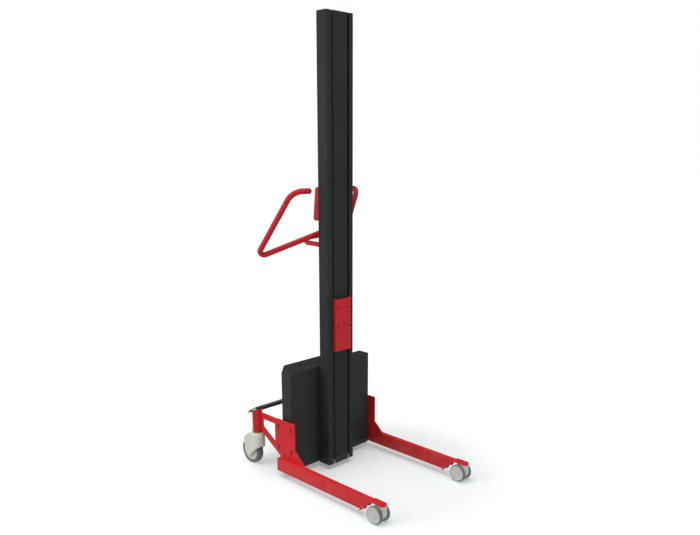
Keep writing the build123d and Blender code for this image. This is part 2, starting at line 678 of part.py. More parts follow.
with BuildPart() as lift_rocker:
    with BuildSketch(Plane.YZ.offset(rocker_x - 14)) as rocker_profile:
        with BuildLine():
            Polyline(*pts([(box_back - 6, rocker_z - 22), (box_back + 6, rocker_z - 22), (box_back + 3.5, rocker_z),
                           (box_back + 6, rocker_z + 22), (box_back - 6, rocker_z + 22), (box_back - 14, rocker_z)]), close=True)
        make_face()
    extrude(amount=28)
    rod_x(rocker_x - 18.5, rocker_x + 18.5, rocker_d, rocker_z, 3.0)
lift_rocker.part.label = "lift_rocker"
export_step(lift_rocker.part, "parts/lift_rocker.step")

with BuildPart() as stop_button:
    rod_y(stop_x, box_back - 16, box_back + 10, stop_z, 8.0)
    rod_y(stop_x, box_back + 8, box_back + 20, stop_z, 19.0)
    fillet(stop_button.edges().filter_by(GeomType.CIRCLE).sort_by(Axis.Y)[-1], 7.0)
stop_button.part.label = "stop_button"
export_step(stop_button.part, "parts/stop_button.step")

# ---------------------------------------------------------------------------
# Brake bar over the rear castors
# ---------------------------------------------------------------------------
with BuildPart() as brake_bar:
    rod_x(-264, 264, rc_swivel, bar_z, bar_r)
    fillet(brake_bar.edges().filter_by(GeomType.CIRCLE), 1.5)
    # thinner stubs through the outer walls of the socket tubes
    rod_x(-bar_half, bar_half, rc_swivel, bar_z, 6.0)
    # foot plate at the middle, behind the housing
    block(-50, 50, rc_swivel, rc_swivel + 60, bar_z - 3, bar_z + 3)
    fillet(brake_bar.edges().filter_by(Axis.Z).group_by(Axis.Y)[-1], 12.0)
brake_bar.part.label = "brake_bar"
export_step(brake_bar.part, "parts/brake_bar.step")

with BuildPart() as castor_stem_left:
    rod_z(-rc_x, rc_swivel, 138, stem_top, stem_r)
    fillet(castor_stem_left.edges().filter_by(GeomType.CIRCLE).sort_by(Axis.Z)[-1], 3.0)
    rod_x(-rc_x - 30, -rc_x + 30, rc_swivel, bar_z, bar_r + 0.06, mode=Mode.SUBTRACT)
castor_stem_left.part.label = "castor_stem_left"
export_step(castor_stem_left.part, "parts/castor_stem_left.step")

with BuildPart() as castor_stem_right:
    mirror(castor_stem_left.part, about=Plane.YZ)
castor_stem_right.part.label = "castor_stem_right"
export_step(castor_stem_right.part, "parts/castor_stem_right.step")

# ---------------------------------------------------------------------------
# Rear castors
# ---------------------------------------------------------------------------
hood_half_w = 24.0
hood_r = 65.5
barrel_r = 31.0
with BuildPart() as rear_castor_hood_left:
    # cheeks and crown, in side view
    with BuildSketch(Plane.YZ.offset(-rc_x - hood_half_w)) as hood_side:
        with Locations((fy(rc_axle), rc_r)):
            Circle(hood_r)
        with BuildLine():
            Polyline(*pts([(rc_swivel, 60), (rc_swivel, 150), (rc_swivel + 24, 150), (rc_axle + 6, 124.5), (rc_axle, 60)]), close=True)
        make_face()
        # below the slanted edge and behind the end of the crown nothing is left
        with BuildLine():
            Polyline(*pts([(rc_swivel - 40, 110), (rc_axle - 14, 44), (rc_axle + 4, 38), (rc_axle + 20, 50),
                           (rc_axle + 18, 140), (rc_axle + 90, 140), (rc_axle + 90, -20), (rc_swivel - 40, -20)]), close=True)
        make_face(mode=Mode.SUBTRACT)
    extrude(amount=2 * hood_half_w)
    # barrel round the swivel axis
    rod_z(-rc_x, rc_swivel, 60, 150.5, barrel_r)
    with BuildSketch(Plane.YZ.offset(-rc_x - 60)):
        with BuildLine():
            Polyline(*pts([(rc_swivel - 40, 110), (rc_axle - 14, 44), (rc_axle - 14, 0), (rc_swivel - 40, 0)]), close=True)
        make_face()
    extrude(amount=120, mode=Mode.SUBTRACT)
    # collar under the socket
    rod_z(-rc_x, rc_swivel, 150, 159.0, 25.5)
    # room for the wheel
    rod_x(-rc_x - 17, -rc_x + 17, rc_axle, rc_r, rc_r + 2.5, mode=Mode.SUBTRACT)
    # bore of the swivel stem and of the axle
    rod_z(-rc_x, rc_swivel, 137.5, 165, stem_r + 0.06, mode=Mode.SUBTRACT)
    rod_x(-rc_x - 30, -rc_x + 30, rc_axle, rc_r, 5.03, mode=Mode.SUBTRACT)
rear_castor_hood_left.part.label = "rear_castor_hood_left"
export_step(rear_castor_hood_left.part, "parts/rear_castor_hood_left.step")

with BuildPart() as rear_castor_hood_right:
    mirror(rear_castor_hood_left.part, about=Plane.YZ)
rear_castor_hood_right.part.label = "rear_castor_hood_right"
export_step(rear_castor_hood_right.part, "parts/rear_castor_hood_right.step")

with BuildPart() as rear_axle_left:
    rod_x(-rc_x - hood_half_w, -rc_x + hood_half_w, rc_axle, rc_r, 5.0)
    rod_x(-rc_x - hood_half_w - 4, -rc_x - hood_half_w, rc_axle, rc_r, 9.0)
    rod_x(-rc_x + hood_half_w, -rc_x + hood_half_w + 4, rc_axle, rc_r, 9.0)
rear_axle_left.part.label = "rear_axle_left"
export_step(rear_axle_left.part, "parts/rear_axle_left.step")

with BuildPart() as rear_axle_right:
    mirror(rear_axle_left.part, about=Plane.YZ)
rear_axle_right.part.label = "rear_axle_right"
export_step(rear_axle_right.part, "parts/rear_axle_right.step")

with BuildPart() as rear_tyre_left:
    rod_x(-rc_x - rc_w / 2, -rc_x + rc_w / 2, rc_axle, rc_r, rc_r)
    fillet(rear_tyre_left.edges().filter_by(GeomType.CIRCLE), 6.0)
    rod_x(-rc_x - 20, -rc_x + 20, rc_axle, rc_r, rc_hub_r, mode=Mode.SUBTRACT)
rear_tyre_left.part.label = "rear_tyre_left"
export_step(rear_tyre_left.part, "parts/rear_tyre_left.step")

with BuildPart() as rear_tyre_right:
    mirror(rear_tyre_left.part, about=Plane.YZ)
rear_tyre_right.part.label = "rear_tyre_right"
export_step(rear_tyre_right.part, "parts/rear_tyre_right.step")

with BuildPart() as rear_hub_left:
    rod_x(-rc_x - 15, -rc_x + 15, rc_axle, rc_r, rc_hub_r)
    rod_x(-rc_x - 16, -rc_x - 11, rc_axle, rc_r, rc_hub_r - 6, mode=Mode.SUBTRACT)
    rod_x(-rc_x + 11, -rc_x + 16, rc_axle, rc_r, rc_hub_r - 6, mode=Mode.SUBTRACT)
    rod_x(-rc_x - 16.6, -rc_x + 16.6, rc_axle, rc_r, 14)
    rod_x(-rc_x - 20, -rc_x + 20, rc_axle, rc_r, 5.05, mode=Mode.SUBTRACT)
rear_hub_left.part.label = "rear_hub_left"
export_step(rear_hub_left.part, "parts/rear_hub_left.step")

with BuildPart() as rear_hub_right:
    mirror(rear_hub_left.part, about=Plane.YZ)
rear_hub_right.part.label = "rear_hub_right"
export_step(rear_hub_right.part, "parts/rear_hub_right.step")

# ---------------------------------------------------------------------------
# Front twin castors
# ---------------------------------------------------------------------------
with BuildPart() as front_castor_body_left:
    with BuildSketch(Plane.YZ.offset(-fc_x - 13.0)) as body_side:
        with Locations((fy(fc_axle), fc_r)):
            Circle(31.8)
        with BuildLine():
            Polyline(*pts([(fc_swivel - 13, 44), (fc_swivel - 13, 78.5), (fc_swivel + 15, 78.5), (fc_axle + 13, 67), (fc_axle, 37.5)]), close=True)
        make_face()
    extrude(amount=26.0)
    # stem into the nose tongue, and the axle of the two wheels
    rod_z(-fc_x, fc_swivel, 68, 84.3, 5.44)
    rod_x(-fc_x - 25.5, -fc_x + 25.5, fc_axle, fc_r, 4.0)
front_castor_body_left.part.label = "front_castor_body_left"
export_step(front_castor_body_left.part, "parts/front_castor_body_left.step")

with BuildPart() as front_castor_body_right:
    mirror(front_castor_body_left.part, about=Plane.YZ)
front_castor_body_right.part.label = "front_castor_body_right"
export_step(front_castor_body_right.part, "parts/front_castor_body_right.step")

with BuildPart() as front_tyre_left_outer:
    rod_x(-fc_x - fc_out, -fc_x - fc_in, fc_axle, fc_r, fc_r)
    fillet(front_tyre_left_outer.edges().filter_by(GeomType.CIRCLE), 3.0)
    rod_x(-fc_x - 32, -fc_x - 12, fc_axle, fc_r, fc_disc_r, mode=Mode.SUBTRACT)
front_tyre_left_outer.part.label = "front_tyre_left_outer"
export_step(front_tyre_left_outer.part, "parts/front_tyre_left_outer.step")

with BuildPart() as front_disc_left_outer:
    rod_x(-fc_x - fc_out - 1.0, -fc_x - fc_in - 0.5, fc_axle, fc_r, fc_disc_r)
    fillet(front_disc_left_outer.edges().filter_by(GeomType.CIRCLE).sort_by(Axis.X)[0], 1.2)
    # shallow dish inside a raised rim
    rod_x(-fc_x - fc_out - 2, -fc_x - fc_out + 0.4, fc_axle, fc_r, fc_disc_r - 4, mode=Mode.SUBTRACT)
    rod_x(-fc_x - 26, -fc_x, fc_axle, fc_r, 4.05, mode=Mode.SUBTRACT)
front_disc_left_outer.part.label = "front_disc_left_outer"
export_step(front_disc_left_outer.part, "parts/front_disc_left_outer.step")

left_castor_plane = Plane.YZ.offset(-fc_x)
with BuildPart() as front_tyre_left_inner:
    mirror(front_tyre_left_outer.part, about=left_castor_plane)
front_tyre_left_inner.part.label = "front_tyre_left_inner"
export_step(front_tyre_left_inner.part, "parts/front_tyre_left_inner.step")

with BuildPart() as front_disc_left_inner:
    mirror(front_disc_left_outer.part, about=left_castor_plane)
front_disc_left_inner.part.label = "front_disc_left_inner"
export_step(front_disc_left_inner.part, "parts/front_disc_left_inner.step")

with BuildPart() as front_tyre_right_outer:
    mirror(front_tyre_left_outer.part, about=Plane.YZ)
front_tyre_right_outer.part.label = "front_tyre_right_outer"
export_step(front_tyre_right_outer.part, "parts/front_tyre_right_outer.step")

with BuildPart() as front_disc_right_outer:
    mirror(front_disc_left_outer.part, about=Plane.YZ)
front_disc_right_outer.part.label = "front_disc_right_outer"
export_step(front_disc_right_outer.part, "parts/front_disc_right_outer.step")

with BuildPart() as front_tyre_right_inner:
    mirror(front_tyre_left_inner.part, about=Plane.YZ)
front_tyre_right_inner.part.label = "front_tyre_right_inner"
export_step(front_tyre_right_inner.part, "parts/front_tyre_right_inner.step")

with BuildPart() as front_disc_right_inner:
    mirror(front_disc_left_inner.part, about=Plane.YZ)
front_disc_right_inner.part.label = "front_disc_right_inner"
export_step(front_disc_right_inner.part, "parts/front_disc_right_inner.step")
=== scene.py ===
import math

import bmesh
import bpy
import numpy as np
from mathutils import Matrix, Vector


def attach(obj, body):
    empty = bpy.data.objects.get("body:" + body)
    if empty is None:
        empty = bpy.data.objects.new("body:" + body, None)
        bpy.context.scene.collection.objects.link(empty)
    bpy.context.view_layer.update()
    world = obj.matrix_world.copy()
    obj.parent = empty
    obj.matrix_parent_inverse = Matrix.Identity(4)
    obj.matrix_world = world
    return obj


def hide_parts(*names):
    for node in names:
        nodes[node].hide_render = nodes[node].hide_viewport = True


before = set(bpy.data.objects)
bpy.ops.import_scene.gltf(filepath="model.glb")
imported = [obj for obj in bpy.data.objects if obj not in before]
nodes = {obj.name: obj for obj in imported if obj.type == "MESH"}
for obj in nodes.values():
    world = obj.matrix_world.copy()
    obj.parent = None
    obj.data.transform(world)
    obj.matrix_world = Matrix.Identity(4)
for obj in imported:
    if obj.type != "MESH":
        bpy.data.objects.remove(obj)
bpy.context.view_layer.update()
scene = bpy.context.scene

# depths d are measured backwards from the mast's front face, all lengths in mm
MAST_FRONT = 66.75


def at(x, d, z):
    return Vector((x / 1000.0, (MAST_FRONT + d) / 1000.0, z / 1000.0))


# ---------------------------------------------------------------------------
# Material helpers
# ---------------------------------------------------------------------------
class Mat:
    def __init__(self, name):
        self.m = bpy.data.materials.new(name)
        self.m.use_nodes = True
        self.t = self.m.node_tree
        self.t.nodes.clear()
        self.out = self.t.nodes.new("ShaderNodeOutputMaterial")
        self.b = self.t.nodes.new("ShaderNodeBsdfPrincipled")
        self.t.links.new(self.b.outputs["BSDF"], self.out.inputs["Surface"])
        self.tc = self.t.nodes.new("ShaderNodeTexCoord")
        self.obj = self.tc.outputs["Object"]

    def n(self, kind, attrs=None, **inputs):
        node = self.t.nodes.new(kind)
        for k, v in (attrs or {}).items():
            setattr(node, k, v)
        for k, v in inputs.items():
            key = k.replace("_", " ")
            sock = node.inputs[key] if key in node.inputs else node.inputs[int(k[1:])]
            self.put(sock, v)
        return node

    def put(self, sock, v):
        if isinstance(v, bpy.types.NodeSocket):
            self.t.links.new(v, sock)
        else:
            sock.default_value = v

    def set(self, **inputs):
        for k, v in inputs.items():
            self.put(self.b.inputs[k.replace("_", " ")], v)

    def scaled(self, sx, sy, sz):
        mp = self.n("ShaderNodeMapping", Vector=self.obj)
        mp.inputs["Scale"].default_value = (sx, sy, sz)
        return mp.outputs["Vector"]

    def noise(self, scale, detail=3.0, rough=0.55, vec=None, dist=0.0):
        node = self.n("ShaderNodeTexNoise", Vector=vec if vec is not None else self.obj, Scale=scale, Detail=detail,
                      Roughness=rough, Distortion=dist)
        return node.outputs["Fac"]

    def math(self, op, a, b=0.0, clamp=False):
        node = self.n("ShaderNodeMath", {"operation": op, "use_clamp": clamp})
        self.put(node.inputs[0], a)
        self.put(node.inputs[1], b)
        return node.outputs[0]

    def ramp(self, v, lo, hi, out_lo=0.0, out_hi=1.0):
        node = self.n("ShaderNodeMapRange", {"interpolation_type": "SMOOTHSTEP", "clamp": True})
        self.put(node.inputs[0], v)
        for i, x in enumerate((lo, hi, out_lo, out_hi)):
            node.inputs[1 + i].default_value = x
        return node.outputs[0]

    def mix(self, f, a, b):
        node = self.n("ShaderNodeMix", {"data_type": "RGBA"})
        self.put(node.inputs[0], f)
        for sock, v in ((node.inputs[6], a), (node.inputs[7], b)):
            self.put(sock, v if isinstance(v, bpy.types.NodeSocket) else (*v, 1.0))
        return node.outputs[2]

    def edges(self, radius, lo=0.995, hi=0.86):
        """1 on convex or concave edges, 0 on open faces, and the softened normal."""
        bev = self.n("ShaderNodeBevel", {"samples": 6}, Radius=radius)
        geo = self.n("ShaderNodeNewGeometry")
        dot = self.n("ShaderNodeVectorMath", {"operation": "DOT_PRODUCT"})
        self.put(dot.inputs[0], bev.outputs["Normal"])
        self.put(dot.inputs[1], geo.outputs["Normal"])
        return self.ramp(dot.outputs["Value"], lo, hi), bev.outputs["Normal"]

    def bump(self, height, strength, distance, normal=None):
        node = self.n("ShaderNodeBump", Height=height, Strength=strength, Distance=distance)
        if normal is not None:
            self.put(node.inputs["Normal"], normal)
        return node.outputs["Normal"]


def mul(c, k):
    return tuple(max(0.0, min(1.0, a * k)) for a in c)


def lerp(a, b, k):
    return tuple(x + (y - x) * k for x, y in zip(a, b))


def powder_coat(name, col, rough=0.42, spec=0.5, peel=650.0, peel_bump=0.10, vary=0.06, wear=0.35, wear_col=None,
                soften=0.0009, streak=0.0, dust=0.0, coat=0.0, inner=0.0):
    """Sprayed and baked paint: orange peel, slow tone drift, lighter rubbed edges, a little dust low down; inner paints
    shade on faces that point in towards the middle.
    """
    k = Mat(name)
    drift = k.noise(4.0, 4.0, 0.6)
    cloud = k.noise(38.0, 3.0, 0.6)
    fine = k.noise(peel, 2.0, 0.5)
    grit = k.noise(peel * 3.1, 1.0, 0.5)
    edge, soft = k.edges(soften)
    colour = k.mix(k.ramp(drift, 0.3, 0.7), mul(col, 1.0 - vary), mul(col, 1.0 + vary))
    colour = k.mix(k.math("MULTIPLY", k.ramp(cloud, 0.45, 0.75), 0.35), colour, mul(col, 1.0 - 1.6 * vary))
    rubbed = k.math("MULTIPLY", edge, k.ramp(k.noise(55.0, 4.0, 0.65), 0.38, 0.66))
    colour = k.mix(k.math("MULTIPLY", rubbed, wear), colour, wear_col or lerp(col, (1, 1, 1), 0.18))
    height = k.math("ADD", fine, k.math("MULTIPLY", grit, 0.35))
    if streak:
        lines = k.noise(1.0, 3.0, 0.6, vec=k.scaled(900.0, 900.0, 5.0))
        height = k.math("ADD", height, k.math("MULTIPLY", lines, streak))
    # painted shade: faces turned in towards the middle of the machine are darkened by up to inner, standing in for the
    # shade between the legs
    if inner:
        nx = k.n("ShaderNodeSeparateXYZ", Vector=k.n("ShaderNodeNewGeometry").outputs["Normal"]).outputs["X"]
        px = k.n("ShaderNodeSeparateXYZ", Vector=k.obj).outputs["X"]
        facing = k.math("MULTIPLY", nx, k.math("SIGN", px))
        colour = k.mix(k.ramp(facing, -0.9, -0.5, inner, 0.0), colour, mul(col, 0.05))
    if dust:
        sep = k.n("ShaderNodeSeparateXYZ", Vector=k.obj)
        low = k.math("MULTIPLY", k.ramp(sep.outputs["Z"], 0.16, 0.02), k.ramp(k.noise(26.0, 5.0, 0.7), 0.42, 0.72))
        colour = k.mix(k.math("MULTIPLY", low, dust), colour, (0.42, 0.40, 0.37))
    r = k.math("ADD", rough - 0.05, k.math("MULTIPLY", cloud, 0.12))
    r = k.math("SUBTRACT", r, k.math("MULTIPLY", rubbed, 0.08))
    k.set(Base_Color=colour, Roughness=r, Specular_IOR_Level=spec, Coat_Weight=coat,
          Normal=k.bump(height, peel_bump, 0.0004, soft))
    if coat:
        k.set(Coat_Roughness=0.25)
    return k.m


def moulded(name, col, rough=0.45, spec=0.45, grain=1400.0, grain_bump=0.09, vary=0.05, soften=0.0008, scuff=0.25,
            grime=None, mottle=0.0):
    """Injection moulded plastic: spark-eroded grain, faint flow marks, scuffed edges."""
    k = Mat(name)
    drift = k.noise(9.0, 4.0, 0.6, dist=0.6)
    cloud = k.noise(70.0, 3.0, 0.6)
    grains = k.n("ShaderNodeTexVoronoi", Vector=k.obj, Scale=grain).outputs["Distance"]
    edge, soft = k.edges(soften)
    colour = k.mix(k.ramp(drift, 0.3, 0.7), mul(col, 1.0 - vary), mul(col, 1.0 + vary))
    if mottle:
        colour = k.mix(k.math("MULTIPLY", k.ramp(cloud, 0.5, 0.8), mottle), colour, mul(col, 0.8))
    rubbed = k.math("MULTIPLY", edge, k.ramp(k.noise(90.0, 4.0, 0.65), 0.40, 0.66))
    colour = k.mix(k.math("MULTIPLY", rubbed, scuff), colour, lerp(col, (1, 1, 1), 0.25))
    if grime is not None:
        sep = k.n("ShaderNodeSeparateXYZ", Vector=k.obj)
        low = k.math("MULTIPLY", k.ramp(sep.outputs["Z"], 0.07, 0.005), k.ramp(k.noise(60.0, 5.0, 0.7), 0.40, 0.72))
        colour = k.mix(k.math("MULTIPLY", low, grime), colour, (0.20, 0.19, 0.175))
    r = k.math("ADD", rough - 0.06, k.math("MULTIPLY", cloud, 0.13))
    k.set(Base_Color=colour, Roughness=r, Specular_IOR_Level=spec, Normal=k.bump(grains, grain_bump, 0.0003, soft))
    return k.m


def bare_metal(name, col, rough=0.32, along=(1400.0, 1400.0, 12.0), bump=0.05, stain=0.3, soften=0.0006):
    """Plated or machined metal: drawing lines, slightly clouded plating, bright edges."""
    k = Mat(name)
    lines = k.noise(1.0, 3.0, 0.6, vec=k.scaled(*along))
    cloud = k.noise(60.0, 5.0, 0.65)
    edge, soft = k.edges(soften)
    colour = k.mix(k.ramp(cloud, 0.35, 0.7), mul(col, 1.0 - stain * 0.45), col)
    colour = k.mix(k.math("MULTIPLY", edge, 0.35), colour, lerp(col, (1, 1, 1), 0.4))
    r = k.math("ADD", rough - 0.08, k.math("MULTIPLY", k.math("ADD", lines, cloud), 0.12))
    k.set(Base_Color=colour, Metallic=1.0, Roughness=r, Normal=k.bump(lines, bump, 0.0002, soft))
    return k.m


def rubber(name, col, rough=0.62, scuff=0.35, axis_line=None, grime=0.35):
    """Grey polyurethane or rubber tread: fine pits, faint scuffs, dust where it runs on the floor."""
    k = Mat(name)
    pits = k.n("ShaderNodeTexVoronoi", Vector=k.obj, Scale=900.0).outputs["Distance"]
    cloud = k.noise(45.0, 5.0, 0.65)
    fine = k.noise(260.0, 3.0, 0.6)
    edge, soft = k.edges(0.0012)
    colour = k.mix(k.ramp(cloud, 0.35, 0.7), mul(col, 0.90), mul(col, 1.10))
    marks = k.ramp(k.noise(1.0, 4.0, 0.7, vec=k.scaled(420.0, 60.0, 60.0)), 0.58, 0.72)
    colour = k.mix(k.math("MULTIPLY", marks, scuff * 0.4), colour, mul(col, 0.62))
    colour = k.mix(k.math("MULTIPLY", k.ramp(fine, 0.5, 0.8), grime * 0.5), colour, lerp(col, (0.5, 0.48, 0.45), 0.5))
    r = k.math("ADD", rough - 0.05, k.math("MULTIPLY", cloud, 0.14))
    k.set(Base_Color=colour, Roughness=r, Specular_IOR_Level=0.35,
          Normal=k.bump(k.math("ADD", pits, k.math("MULTIPLY", fine, 0.6)), 0.12, 0.0004, soft))
    return k.m


RED = (0.640, 0.0115, 0.0175)
DARK = (0.0192, 0.0204, 0.0214)
PALE = (0.578, 0.588, 0.548)
M_RED = powder_coat("red_powder_coat", RED, rough=0.46, spec=0.29, vary=0.035, wear=0.32)
# M_TUBE, M_BOX and M_SOCKET are darker copies of the same red coat: painted shade standing in for the lower light on
# the handle and its bracket, the control box and the castor sockets
M_TUBE = powder_coat("red_powder_coat_tube", mul(RED, 0.86), rough=0.46, spec=0.27, vary=0.035, wear=0.32)
M_BOX = powder_coat("red_powder_coat_box", mul(RED, 0.74), rough=0.46, spec=0.29, vary=0.035, wear=0.28)
M_SOCKET = powder_coat("red_powder_coat_socket", mul(RED, 0.91), rough=0.46, spec=0.29, vary=0.035, wear=0.32)
# M_CROSS: the red at 0.42 is painted shade, so the visible end of the front cross plate reads as in shadow
M_CROSS = powder_coat("red_powder_coat_shaded", mul(RED, 0.42), rough=0.5, spec=0.2, vary=0.035, wear=0.2)
M_LEG = powder_coat("red_powder_coat_low", RED, rough=0.47, spec=0.28, vary=0.04, wear=0.42, dust=0.10)
# M_BEAM: the legs' red, with painted shade on the faces turned in towards the middle
M_BEAM = powder_coat("red_powder_coat_leg", RED, rough=0.47, spec=0.28, vary=0.04, wear=0.42, dust=0.10, inner=0.22)
M_DARK = powder_coat("anthracite_powder_coat", DARK, rough=0.55, spec=0.34, peel=820.0, peel_bump=0.16, vary=0.08,
                     wear=0.22, wear_col=(0.07, 0.072, 0.074))
# M_MAST: the anthracite raised 1.75 times is painted light, standing in for light on the mast's front and side faces
M_MAST = powder_coat("anthracite_extrusion", mul(DARK, 1.75), rough=0.50, spec=0.06, peel=820.0, peel_bump=0.11, vary=0.07,
                     wear=0.20, wear_col=(0.07, 0.072, 0.074), streak=0.5)
M_PALE = moulded("pale_grey_nylon", PALE, rough=0.44, spec=0.42, vary=0.03, grime=0.10, scuff=0.15)
M_HOOD = moulded("pale_grey_hood", (0.665, 0.686, 0.606), rough=0.44, spec=0.36, vary=0.03, grime=0.10, scuff=0.15)
# the grey tread in two copies: the rear tyres' darker grey is painted shade from the hoods over them, the front twins'
# lighter grey is painted light
M_TYRE = rubber("grey_tyre", (0.150, 0.152, 0.146))
M_TWIN = rubber("grey_tyre_twin", (0.190, 0.192, 0.187))
M_BLACK = moulded("black_moulding", (0.020, 0.020, 0.0215), rough=0.5, spec=0.4, vary=0.10, scuff=0.35)
M_PANEL = moulded("panel_film", (0.034, 0.035, 0.038), rough=0.38, spec=0.4, grain=2200.0, grain_bump=0.05, vary=0.05, scuff=0.2)
M_BUTTON = moulded("stop_button_red", (0.56, 0.010, 0.012), rough=0.22, spec=0.5, grain=2600.0, grain_bump=0.02, vary=0.03, scuff=0.2)
M_ZINC = bare_metal("bright_zinc", (0.62, 0.63, 0.64), rough=0.34)
M_ALU = bare_metal("machined_aluminium", (0.70, 0.71, 0.72), rough=0.38, along=(1200.0, 60.0, 1200.0))
M_BATTERY = moulded("battery_case", (0.060, 0.061, 0.066), rough=0.5, grain=900.0, vary=0.06)
M_MOTOR = powder_coat("motor_enamel", (0.045, 0.046, 0.050), rough=0.36, spec=0.45, vary=0.06)
# M_STOP: mid grey that stands as painted shade for the shaded floor seen through the mast slot ends
M_STOP = moulded("slot_stop_grey", (0.42, 0.42, 0.42), rough=0.5, vary=0.04, scuff=0.2)
M_GUIDE = moulded("slide_plastic", (0.70, 0.69, 0.64), rough=0.4, vary=0.04)


def belt_material():
    """Toothed rubber belt: cord lines along it and moulded teeth across."""
    k = Mat("belt_rubber")
    sep = k.n("ShaderNodeSeparateXYZ", Vector=k.obj)
    teeth = k.math("SINE", k.math("MULTIPLY", sep.outputs["Z"], 2 * math.pi / 0.005))
    cords = k.math("SINE", k.math("MULTIPLY", sep.outputs["Y"], 2 * math.pi / 0.0014))
    cloud = k.noise(80.0, 4.0, 0.6)
    colour = k.mix(k.ramp(cloud, 0.3, 0.7), (0.012, 0.012, 0.013), (0.026, 0.026, 0.027))
    k.set(Base_Color=colour, Roughness=k.math("ADD", 0.55, k.math("MULTIPLY", cloud, 0.2)), Specular_IOR_Level=0.3,
          Normal=k.bump(k.math("ADD", teeth, k.math("MULTIPLY", cords, 0.2)), 0.4, 0.0006))
    return k.m


def bar_material():
    """Black coated round bar; the stubs outside the sockets are bare plated steel, given a flat pale grey that is
    partly their steel and partly a painted highlight.
    """
    k = Mat("brake_bar_coat")
    sep = k.n("ShaderNodeSeparateXYZ", Vector=k.obj)
    ax = k.math("ABSOLUTE", sep.outputs["X"])
    cloud = k.noise(60.0, 4.0, 0.6)
    fine = k.noise(700.0, 2.0, 0.5)
    # pale bands at the stubs and over the outer end of each socket: bare steel, its pale grey partly a painted
    # highlight
    ends = k.math("MAXIMUM", k.ramp(ax, 0.2980, 0.2984), k.math("MULTIPLY", k.ramp(ax, 0.2641, 0.2643), k.ramp(ax, 0.2862, 0.2858)))
    edge, soft = k.edges(0.0008)
    black = k.mix(k.ramp(cloud, 0.3, 0.7), (0.030, 0.030, 0.031), (0.044, 0.044, 0.046))
    black = k.mix(k.math("MULTIPLY", edge, 0.3), black, (0.12, 0.12, 0.12))
    colour = k.mix(ends, black, (0.50, 0.49, 0.50))
    k.set(Base_Color=colour, Metallic=0.0, Roughness=k.math("ADD", 0.30, k.math("MULTIPLY", cloud, 0.16)),
          Specular_IOR_Level=0.45, Normal=k.bump(fine, 0.10, 0.0004, soft))
    return k.m


def screw_material():
    """Blackened socket screws; the two castor clamp screws are yellow zinc."""
    k = Mat("screw_steel")
    sep = k.n("ShaderNodeSeparateXYZ", Vector=k.obj)
    ax = k.math("ABSOLUTE", sep.outputs["X"])
    clamp = k.math("MULTIPLY", k.ramp(ax, 0.200, 0.205), k.ramp(sep.outputs["Z"], 0.120, 0.125))
    cloud = k.noise(120.0, 4.0, 0.6)
    lines = k.noise(700.0, 2.0, 0.6)
    edge, soft = k.edges(0.0005)
    dark = k.mix(k.ramp(cloud, 0.3, 0.7), (0.018, 0.018, 0.019), (0.040, 0.040, 0.043))
    dark = k.mix(k.math("MULTIPLY", edge, 0.4), dark, (0.16, 0.16, 0.16))
    gold = k.mix(k.ramp(cloud, 0.3, 0.7), (0.56, 0.40, 0.20), (0.70, 0.56, 0.34))
    k.set(Base_Color=k.mix(clamp, dark, gold), Metallic=k.math("MULTIPLY", clamp, 0.9),
          Roughness=k.math("ADD", 0.32, k.math("MULTIPLY", cloud, 0.18)), Specular_IOR_Level=0.5,
          Normal=k.bump(lines, 0.06, 0.0003, soft))
    return k.m


M_BELT = belt_material()
M_BAR = bar_material()
M_SCREW = screw_material()

# ---------------------------------------------------------------------------
# Finishes of the pieces that keep their own shape
# ---------------------------------------------------------------------------
finish = {}
for s in ("left", "right"):
    finish["leg_" + s] = M_BEAM
    for n in ("castor_bracket_", "side_plate_"):
        finish[n + s] = M_LEG
    finish["castor_socket_" + s] = M_SOCKET
    finish["castor_stem_" + s] = M_ZINC
    finish["rear_axle_" + s] = M_PALE
    finish["rear_castor_hood_" + s] = M_HOOD
    finish["rear_hub_" + s] = M_PALE
    finish["rear_tyre_" + s] = M_TYRE
    finish["front_castor_body_" + s] = M_PALE
    for t in ("outer", "inner"):
        finish["front_tyre_%s_%s" % (s, t)] = M_TWIN
        finish["front_disc_%s_%s" % (s, t)] = M_PALE
finish["front_cross_plate"] = M_CROSS
finish["carriage_plate"] = M_RED
for n in ("handle_tube", "handle_bracket"):
    finish[n] = M_TUBE
finish["control_box"] = M_BOX
for n in ("mast_profile", "mast_front_strip"):
    finish[n] = M_MAST
# the rear cross plate is anthracite like the covers; that dark paint also serves as painted shade in the rear slots of
# the side plates, where its tabs show
for n in ("mast_top_cap", "mast_foot_cap", "mast_spacer", "housing_front_cover", "housing_rear_cover", "rear_cross_plate"):
    finish[n] = M_DARK
finish.update({
    "handle_end_plugs": M_BLACK, "lift_rocker": M_BLACK, "charge_inlet": M_BLACK, "control_panel": M_PANEL,
    "stop_button": M_BUTTON, "battery_tray": M_MOTOR, "battery_pack": M_BATTERY, "motor_controller": M_ALU,
    "gearbox": M_ALU, "lift_motor": M_MOTOR, "drive_belt": M_BELT, "drive_pulley": M_ALU, "idler_pulley": M_ALU,
    "idler_pin": M_ZINC, "carriage_bridge": M_ZINC, "carriage_guides": M_GUIDE, "brake_bar": M_BAR,
    "frame_screws": M_SCREW})
for name, obj in nodes.items():
    mat = finish[name]
    if not obj.material_slots:
        obj.data.materials.append(mat)
    for sl in obj.material_slots:
        sl.material = mat


# ---------------------------------------------------------------------------
# Mesh helpers
# ---------------------------------------------------------------------------
def new_object(name, verts, faces, mat, smooth_angle=35.0):
    me = bpy.data.meshes.new(name)
    me.from_pydata([tuple(v) for v in verts], [], [tuple(f) for f in faces])
    me.validate()
    me.update()
    bm = bmesh.new()
    bm.from_mesh(me)
    bmesh.ops.recalc_face_normals(bm, faces=bm.faces)
    bm.to_mesh(me)
    bm.free()
    me.shade_smooth()
    me.set_sharp_from_angle(angle=math.radians(smooth_angle))
    ob = bpy.data.objects.new(name, me)
    ob.data.materials.append(mat)
    scene.collection.objects.link(ob)
    return ob


